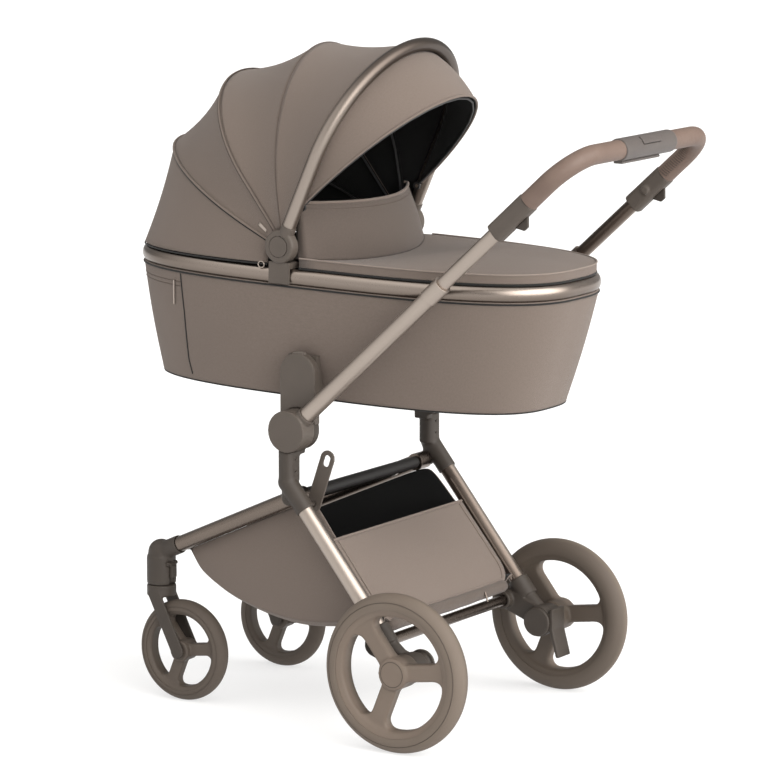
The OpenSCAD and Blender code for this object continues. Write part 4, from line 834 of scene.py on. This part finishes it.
# Of each wire: its angle, reach, share of straight leg, half width, and how far it stands before the axis.
hood_arches = [
    (155.0, 0.359, 0.17, 0.197, 0.025),
    (128.5, 0.360, 0.40, 0.202, 0.0),
    (98.5, 0.347, 0.24, 0.207, 0.0),
]
bow_degrees, bow_reach, bow_half = 67.0, 0.383, 0.210
bow_angle = math.radians(bow_degrees)
bow_along = Vector((math.cos(bow_angle), 0, math.sin(bow_angle)))
bow_over, bow_ahead, rib_start, hub_clear = 0.001, 0.0125, 0.008, 0.0302
foot_inset, foot_lift, foot_ease = 0.004, 0.0045, 0.003
cloth_wall, curve_share = 0.0024, 0.8


def arch(share, half, leg, rise, start):
    """Half width and reach of a hood arch at a share from the left foot over the top to the right foot."""
    up = 1 - abs(2 * share - 1)
    side = -1 if share < 0.5 else 1
    straight = (leg - start) / (leg - start + curve_share * (half + rise))
    if up < straight:
        return side * half, start + (leg - start) * up / straight
    turn = math.pi / 2 * (up - straight) / (1 - straight)
    return side * half * math.cos(turn), leg + rise * math.sin(turn)


def rib_line(index, share, aside=0.0):
    """A point of the cloth over a wire, or over the bow for the last index, moved aside along the cloth."""
    if index == 3:
        half = bow_half + bow_over
        y, reach = arch(share, half, bow_reach - bow_half, half, hub_clear)
        angle, ahead = bow_angle, bow_ahead / math.sin(bow_angle)
    else:
        degrees, total, leg_share, half, ahead = hood_arches[index]
        angle = math.radians(degrees)
        start = rib_start if index == 0 else hub_clear
        y, reach = arch(share, half, total * leg_share, total * (1 - leg_share), start)
    across = Vector((math.sin(angle), 0, -math.cos(angle))) * aside
    x = hood_axis[0] - ahead + reach * math.cos(angle)
    return Vector((x, y, hood_axis[1] + reach * math.sin(angle))) + across


def rim_line_point(share):
    """A point of the hood's lower edge on the rim, from the left mount round the front to the right one."""
    a, b = rim_a - foot_inset, rim_b - foot_inset
    first = math.acos(-(abs(hood_axis[0] - hub_clear) / a) ** (1 / oval_power))
    x, y = oval(a, b, -first + (2 * first - 2 * math.pi) * share)
    return Vector((x, y, rim_top + foot_lift + foot_ease * abs(2 * share - 1) ** 6))


def hood_line(index, share):
    return rim_line_point(share) if index < 0 else rib_line(index, share)


panel_sag = [0.004, 0.010, 0.011, 0.009]
hood_middle = Vector((-0.12, 0, 0.87))


def panel_surface(index, out=0.0):
    """One panel, drawn in between its two wires."""

    def surface(u, v):
        low, high = hood_line(index - 1, u), hood_line(index, u)
        point = low.lerp(high, v)
        inward = (hood_middle - point).normalized()
        free = math.sin(math.pi * u) ** 0.7
        point = point + inward * (panel_sag[index] * 4 * v * (1 - v) * free - out)
        return cot_frame @ point

    return surface


hood_angles = [180.0, *(wire[0] for wire in hood_arches), bow_degrees]
bend_reach, bend_width = 0.2, 0.033


def spread(piece, index):
    """Bakes a piece's transform and works out the ends of a bend between the two bodies that hold a panel.
    """
    middle = math.radians((hood_angles[index] + hood_angles[index + 1]) / 2)
    half_turn = math.radians((hood_angles[index] - hood_angles[index + 1]) / 2)
    across = Vector((math.sin(middle), 0, -math.cos(middle)))
    along = Vector((math.cos(middle), 0, math.sin(middle)))
    centre = hood_centre + bend_reach * along
    step = across * bend_width * math.sin(half_turn)
    start, end = cot_frame @ (centre - step), cot_frame @ (centre + step)
    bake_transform(piece)
    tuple(start)
    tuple(end)


hood_cuts = [(0.96, 0.192), (0.892, 0.183), (0.884, 0.185), (0.948, 0.189)]
hood_areas = [0.117, 0.101, 0.098, 0.1]
for index, (cut, area) in enumerate(zip(hood_cuts, hood_areas)):
    name = f"hood_panel_{index + 1}"
    panel = cloth_sheet(name, panel_surface(index), 120, 18, cut, [cloth, lining], flip=True)
    thicken(panel, cloth_wall)
    spread(panel, index)
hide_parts("hood_cover")

hood_shares = [i / 100 for i in range(101)]


def seam(index, aside, out):
    """A line over a wire, moved aside along the cloth and out from it."""
    line = []
    for share in hood_shares:
        point = rib_line(index, share, aside)
        line.append(cot_frame @ (point - (hood_middle - point).normalized() * out))
    return line


piping("hood_seam_1", [seam(0, 0.001, 0.0006)], 0.0024, braid, "hood_rib_1")
piping("hood_seam_1_shade", [seam(0, -0.0026, 0.0)], 0.0012, black_braid, "hood_rib_1")
piping("hood_seam_2", [seam(1, 0.0034, 0.0), seam(1, -0.0034, 0.0)], 0.001, thread, "hood_rib_2")
piping("hood_seam_2_band", [seam(1, 0.0, -0.0006)], 0.0024, braid, "hood_rib_2")
piping("hood_seam_3", [seam(2, 0.0, 0.0)], 0.001, thread, "hood_rib_3")
piping("hood_bow_shade", [seam(3, 0.0, -0.0004)], 0.0014, black_braid, "hood_bow")
hood_foot = [cot_frame @ (rim_line_point(share) + Vector((0, 0, -0.003))) for share in hood_shares]
piping("hood_foot_shade", [hood_foot], 0.0015, black_braid, "cot")

tag_u, tag_v, tag_wide, tag_high, tag_out = 0.02, 0.34, 0.024, 0.16, 0.0011


def tag_surface(u, v):
    """A small metal tag that follows the second panel near its left foot."""
    return panel_surface(1, tag_out)(tag_u + tag_wide * u, tag_v + tag_high * v)


tag = cloth_sheet("hood_tag", tag_surface, 6, 6, (0.016, 0.01), [trim], flip=True)
thicken(tag, 0.0009, lined=False)
spread(tag, 1)
ring_x, ring_y, ring_z, ring_wide, ring_high = -0.0895, -0.2118, 0.829, 0.0065, 0.0055
ring_line = []
for i in range(24):
    turn = 2 * math.pi * i / 24
    x, z = ring_x + ring_wide * math.cos(turn), ring_z + ring_high * math.sin(turn)
    ring_line.append(in_cot(x, ring_y, z))
piping("hood_ring", [ring_line], 0.0011, trim, "cot", closed=True)


def hub_cover(name, side):
    """The moulded cover of a hood hinge: a ring round the knob and a socket for the bow's leg."""
    cast = bmesh.new()
    middle = cot_frame @ hood_centre
    leg = cot_frame.to_3x3() @ bow_along
    across = leg.cross(Vector((0, 1, 0))).normalized()
    # Each row is a radius and a distance along the axis that it is turned about.
    ring = [
        (0.0193, 0.2181), (0.0193, 0.2219), (0.0258, 0.2219), (0.0289, 0.2203),
        (0.0302, 0.2172), (0.0302, 0.2021), (0.0193, 0.2021),
    ]
    socket = [(0.0122, 0.021), (0.0136, 0.021), (0.0136, 0.04), (0.0122, 0.04)]
    foot = middle + Vector((0, side * bow_half, 0))
    for axis, start, rows in ((Vector((0, side, 0)), middle, ring), (leg, foot, socket)):
        rim_points = [cast.verts.new(start + across * r + axis * along) for r, along in rows]
        edges = [cast.edges.new(pair) for pair in zip(rim_points, rim_points[1:] + rim_points[:1])]
        turn = {"cent": start, "axis": axis, "angle": 2 * math.pi, "steps": 64, "use_merge": True}
        bmesh.ops.spin(cast, geom=rim_points + edges, **turn)
    bmesh.ops.remove_doubles(cast, verts=cast.verts, dist=0.00002)
    bmesh.ops.recalc_face_normals(cast, faces=cast.faces)
    cover = piece_of(name, cast, moulding)
    relax(cover, 0.0007, 3)
    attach(cover, "hood_bow")


hub_cover("left_hood_cover", -1)
hub_cover("right_hood_cover", 1)

# Visor: a lined cloth peak that hangs from the bow and is held out by a sprung wire in its hem.
# It turns with its wire on the bow, and its hem is sewn round the wire.
visor_hinge, visor_root, visor_start = 0.076, 0.086, 0.01
visor_pivot = hood_centre + visor_hinge * bow_along
visor_angle, visor_reach, visor_leg = math.radians(43.5), 0.286, 0.012
visor_half, visor_full, visor_inset = 0.197, 0.006, 0.0125


def visor_surface(u, v):
    """The peak from the bow to its hem, a little full between them."""
    root_half = bow_half - visor_inset
    y, reach = arch(u, root_half, bow_reach - bow_half, root_half, visor_root)
    root = hood_centre + reach * bow_along + Vector((0, y, 0))
    y, reach = arch(u, visor_half, visor_leg, visor_reach - visor_leg, visor_start)
    edge = visor_pivot + Vector((reach * math.cos(visor_angle), y, reach * math.sin(visor_angle)))
    point = root.lerp(edge, v)
    outward = (point - hood_middle).normalized()
    return cot_frame @ (point + outward * visor_full * 4 * v * (1 - v) * math.sin(math.pi * u))


visor_cut = (0.794, 0.119)
visor = cloth_sheet("visor_cloth", visor_surface, 100, 16, visor_cut, [cloth, lining], flip=True)
thicken(visor, cloth_wall)
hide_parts("visor")
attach(visor, "visor_flap")
piping("visor_hem", [[visor_surface(i / 96, 1.0) for i in range(97)]], 0.0024, braid, "visor_flap")

# Apron: a crowned cover buttoned over the rear of the cot, with a bound edge, a low side band and a wind
# flap that stands up at its front and is turned in at its ends.
apron_a, apron_b = rim_a - 0.008, rim_b - 0.008
apron_front, apron_dip = -0.012, 0.07
band_h, crown_h = 0.0155, 0.019
front_sag, front_ease, front_hem = 0.014, 0.3, 0.004
rear_share, band_share, bound_share = 0.72, 0.2, 0.718
apron_low = rim_top + 0.0042


def oval_half(a, b, x):
    """Half width of the squared oval at a distance from its middle."""
    return b * max(0, 1 - min(1, abs(x) / a) ** squareness) ** (1 / squareness)


def apron_rise(x, y):
    """Height of the crown above the band. It eases into a sag towards the front edge."""
    half = max(0.001, oval_half(apron_a, apron_b, x))
    u = min(1, abs(y) / half)
    v = min(1, max(0, (x - apron_front) / (apron_a - apron_front)))
    crowned = smooth((x - apron_front) / front_ease)
    return crowned * crown_h * (1 - u**3) * (1 - v**4) - (1 - crowned) * front_sag * (1 - u * u)


def apron_outline(share, inset=0.0):
    """Outline in plan: the rear oval up to its share, then the dipped front edge, where the third is 1."""
    turn = math.acos(-(abs(apron_front) / apron_a) ** (1 / oval_power))
    if share < rear_share:
        x, y = oval(apron_a - inset, apron_b - inset, turn * (2 * share / rear_share - 1))
        return x, y, 0
    u = 1 - 2 * (share - rear_share) / (1 - rear_share)
    half = oval_half(apron_a - inset, apron_b - inset, apron_front)
    return apron_front + apron_dip * (1 - u * u), u * half, 1 - abs(u) ** 8


apron_middle = (apron_front + apron_dip + apron_a) / 2


def apron_surface(u, v):
    """The cover from its lower edge up the band and in to its middle."""
    x, y, front = apron_outline(u)
    if v < band_share:
        top = apron_low + band_h + apron_rise(x, y)
        low = apron_low + front * (band_h - front_hem + apron_rise(x, y))
        return in_cot(x, y, low + (top - low) * v / band_share)
    reach = 1 - (v - band_share) / (1 - band_share)
    x, y = apron_middle + (x - apron_middle) * reach, y * reach
    return in_cot(x, y, apron_low + band_h + apron_rise(x, y))


apron = cloth_sheet("apron_cloth", apron_surface, 180, 36, (1.5, 0.25), [cloth, lining])
thicken(apron, cloth_wall)
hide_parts("apron")
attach(apron, "cot")

edge_line, foot_line = [], []
for i in range(130):
    share = bound_share * i / 129
    x, y, _ = apron_outline(share)
    edge_line.append(in_cot(x, y, apron_low + band_h + apron_rise(x, y) + 0.0004))
    x, y, _ = apron_outline(share, 0.0006)
    foot_line.append(in_cot(x, y, apron_low - 0.0022))
piping("apron_binding", [edge_line], 0.0016, pale_braid, "cot")
piping("apron_foot_shade", [foot_line], 0.0019, black_braid, "cot")

flap_foot, flap_head, flap_top, flap_wrap = 0.197, 0.18, 0.936, 0.06
head_back, head_bow, head_lift, flap_belly = 0.02, 0.06, 0.005, 0.012
turn_deep, turn_taper, turn_narrow = 0.024, 0.018, 0.003
apron_half = oval_half(apron_a, apron_b, apron_front)


def flap_surface(u, v):
    """The wind flap from the apron's front edge to its straight top, turned in at both ends."""
    wrapped = (2 * u - 1) * (1 + flap_wrap)
    t = max(-1, min(1, wrapped))
    turn_in = max(0, abs(wrapped) - 1) / flap_wrap
    y = t * flap_foot
    x = apron_front + apron_dip * (1 - (y / apron_half) ** 2) + 0.001
    foot = Vector((x, y, apron_low + band_h + apron_rise(x, y) - 0.001))
    head_x = apron_front - head_back + head_bow * (1 - t * t)
    head = Vector((head_x, t * flap_head, flap_top + head_lift * t * t))
    point = foot.lerp(head, v)
    belly = flap_belly * math.sin(math.pi * v) * (1 - t**4)
    turned = Vector((-(turn_deep - turn_taper * v), -math.copysign(turn_narrow, t), 0)) * turn_in
    return cot_frame @ (point + Vector((belly, 0, 0)) + turned)


flap_cut = (0.467, 0.1085)
# The flap takes the darker cloth, a painted shade.
flap = cloth_sheet("wind_flap", flap_surface, 100, 20, flap_cut, [shaded_cloth, lining])
thicken(flap, 0.005)
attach(flap, "cot")
piping("wind_flap_hem", [[flap_surface(i / 80, 1.0) for i in range(81)]], 0.003, braid, "cot")
piping("wind_flap_seam", [[flap_surface(i / 80, 0.9) for i in range(81)]], 0.0007, thread, "cot")

# Basket: a cloth trough with a black inside, hung from the front tubes and the rear legs. Its rear panel
# fills the space between the legs, with a bound border and a rolled cover tied below it.
basket_floor = [
    (-0.5327, 0.2793), (-0.4953, 0.2339), (-0.4066, 0.1956),
    (-0.2897, 0.176), (-0.1963, 0.1822), (-0.0654, 0.209),
]
basket_lip, tube_end = (-0.1757, 0.348), (-0.258, 0.403)
tube_rise, leg_rise, lip_ease = 0.4411, 1.258, 0.0004
basket_front_half, basket_rear_half = 0.16, 0.2212
leg_out = Vector((0.7828, 0, 0.6223))
side_share, basket_round, basket_belly, side_gap = 0.6, 0.012, 0.005, 0.0035
least_side, full_side, floor_ease = 0.002, 0.1, 0.12


def basket_low(x):
    """Height of the basket's floor line, a smooth curve through its points."""
    for i in range(len(basket_floor) - 1):
        if x <= basket_floor[i + 1][0] or i == len(basket_floor) - 2:
            break
    (x1, z1), (x2, z2) = basket_floor[i], basket_floor[i + 1]
    x0, z0 = basket_floor[max(0, i - 1)]
    x3, z3 = basket_floor[min(len(basket_floor) - 1, i + 2)]
    span = x2 - x1
    slope_1 = (z2 - z0) / (x2 - x0) * span
    slope_2 = (z3 - z1) / (x3 - x1) * span
    t = min(1, max(0, (x - x1) / span))
    rise = (2 * t**3 - 3 * t**2 + 1) * z1 + (t**3 - 2 * t**2 + t) * slope_1
    return rise + (3 * t**2 - 2 * t**3) * z2 + (t**3 - t**2) * slope_2


def basket_high(x):
    """Height of the basket's upper edge: under the front tube, then down the leg."""
    if x < basket_lip[0]:
        under_tube = tube_end[1] + tube_rise * (x - tube_end[0])
        by_leg = basket_lip[1] + (basket_lip[0] - x) * leg_rise
        gap = under_tube - by_leg
        return under_tube - 0.5 * (gap + math.sqrt(gap * gap + lip_ease))
    share = (x - basket_lip[0]) / (basket_floor[-1][0] - basket_lip[0])
    return basket_lip[1] + (basket_floor[-1][1] - basket_lip[1]) * share


def basket_half(x):
    share = (x - basket_floor[0][0]) / (basket_floor[-1][0] - basket_floor[0][0])
    return basket_front_half + (basket_rear_half - basket_front_half) * share


def trough_surface(u, v):
    """Across the basket: down one side, over the floor and up the other."""
    x = basket_floor[0][0] + (basket_floor[-1][0] - basket_floor[0][0]) * v
    low, half = basket_low(x), basket_half(x)
    high = max(basket_high(x), low + least_side)
    side = -1 if u < 0.5 else 1
    down = 1 - abs(2 * u - 1)
    if down < side_share:
        share = down / side_share
        out = basket_belly * math.sin(math.pi * share) * smooth((high - low) / full_side)
        y, z = half + out - side_gap, high + (low + basket_round - high) * share
    else:
        share = (down - side_share) / (1 - side_share)
        y = (half - side_gap) * (1 - share)
        z = low + basket_round * (1 - smooth(share / floor_ease))
    return Vector((x + pram_shift, side * y, z))


basket_cut = (0.831, 0.587)
basket = cloth_sheet("basket_trough", trough_surface, 140, 64, basket_cut, [cloth, lining])
thicken(basket, 0.0022)
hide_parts("basket")
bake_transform(basket)

panel_round, panel_belly, panel_draw, panel_off = 0.045, 0.004, 0.004, 0.0015
panel_l = math.hypot(basket_lip[0] - basket_floor[-1][0], basket_lip[1] - basket_floor[-1][1])


def rear_panel_surface(u, v, out=0.0):
    """The panel between the legs, from its round lower corners to its hemmed lip."""
    x = basket_floor[-1][0] + (basket_lip[0] - basket_floor[-1][0]) * v
    z = basket_floor[-1][1] + (basket_lip[1] - basket_floor[-1][1]) * v
    drop = max(0, panel_round - v * panel_l)
    half = basket_rear_half - panel_round + math.sqrt(panel_round**2 - drop**2)
    t = 2 * u - 1
    belly = panel_belly * math.sin(math.pi * v) * (1 - t * t) + panel_off
    return Vector((x + pram_shift, t * (half - panel_draw * v), z)) + leg_out * (belly + out)


rear_cut = (0.4404, 0.2025)
rear_panel = cloth_sheet("basket_rear_panel", rear_panel_surface, 60, 30, rear_cut, [cloth, lining])
thicken(rear_panel, 0.0026)
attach(rear_panel, "chassis")
piping("basket_lip_hem", [[rear_panel_surface(i / 60, 1.0) for i in range(61)]], 0.0026, braid, "chassis")
border_places = [(0.03, 0.97), (0.03, 0.05), (0.97, 0.05), (0.97, 0.97)]
border = [rear_panel_surface(u, v, 0.0004) for u, v in [*between(border_places, 40), border_places[-1]]]
piping("basket_border", [border], 0.0014, braid, "chassis")

roll_r, roll_half, roll_x, roll_z, tied_share = 0.0122, 0.206, -0.0705, 0.2035, 0.06
fold_deep, fold_fine = 0.035, 0.02


def roll_surface(u, v):
    """A rolled cover: a soft round roll that narrows at its tied ends."""
    angle = 2 * math.pi * u
    end = min(v, 1 - v) / tied_share
    swell = math.sqrt(1 - (1 - min(1, end)) ** 2)
    fold = 1 + fold_deep * math.sin(3 * angle + 9 * v) + fold_fine * math.sin(40 * v)
    radius = roll_r * fold * swell
    x = roll_x + radius * math.cos(angle)
    return Vector((x + pram_shift, (2 * v - 1) * roll_half, roll_z + radius * math.sin(angle)))


# The roll takes the darker cloth, a painted shade.
roll = cloth_sheet("basket_roll", roll_surface, 40, 80, (0.08, 0.41), [shaded_cloth], flip=True)
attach(roll, "chassis")
pull_top = Vector((pram_shift - 0.0575, 0.11, 0.2085))
pull_bar = [pull_top + Vector((0.0012 * k, 0, -0.0035 * k)) for k in range(6)]
piping("basket_zip_pull", [pull_bar], 0.0016, dark_bronze, "chassis")
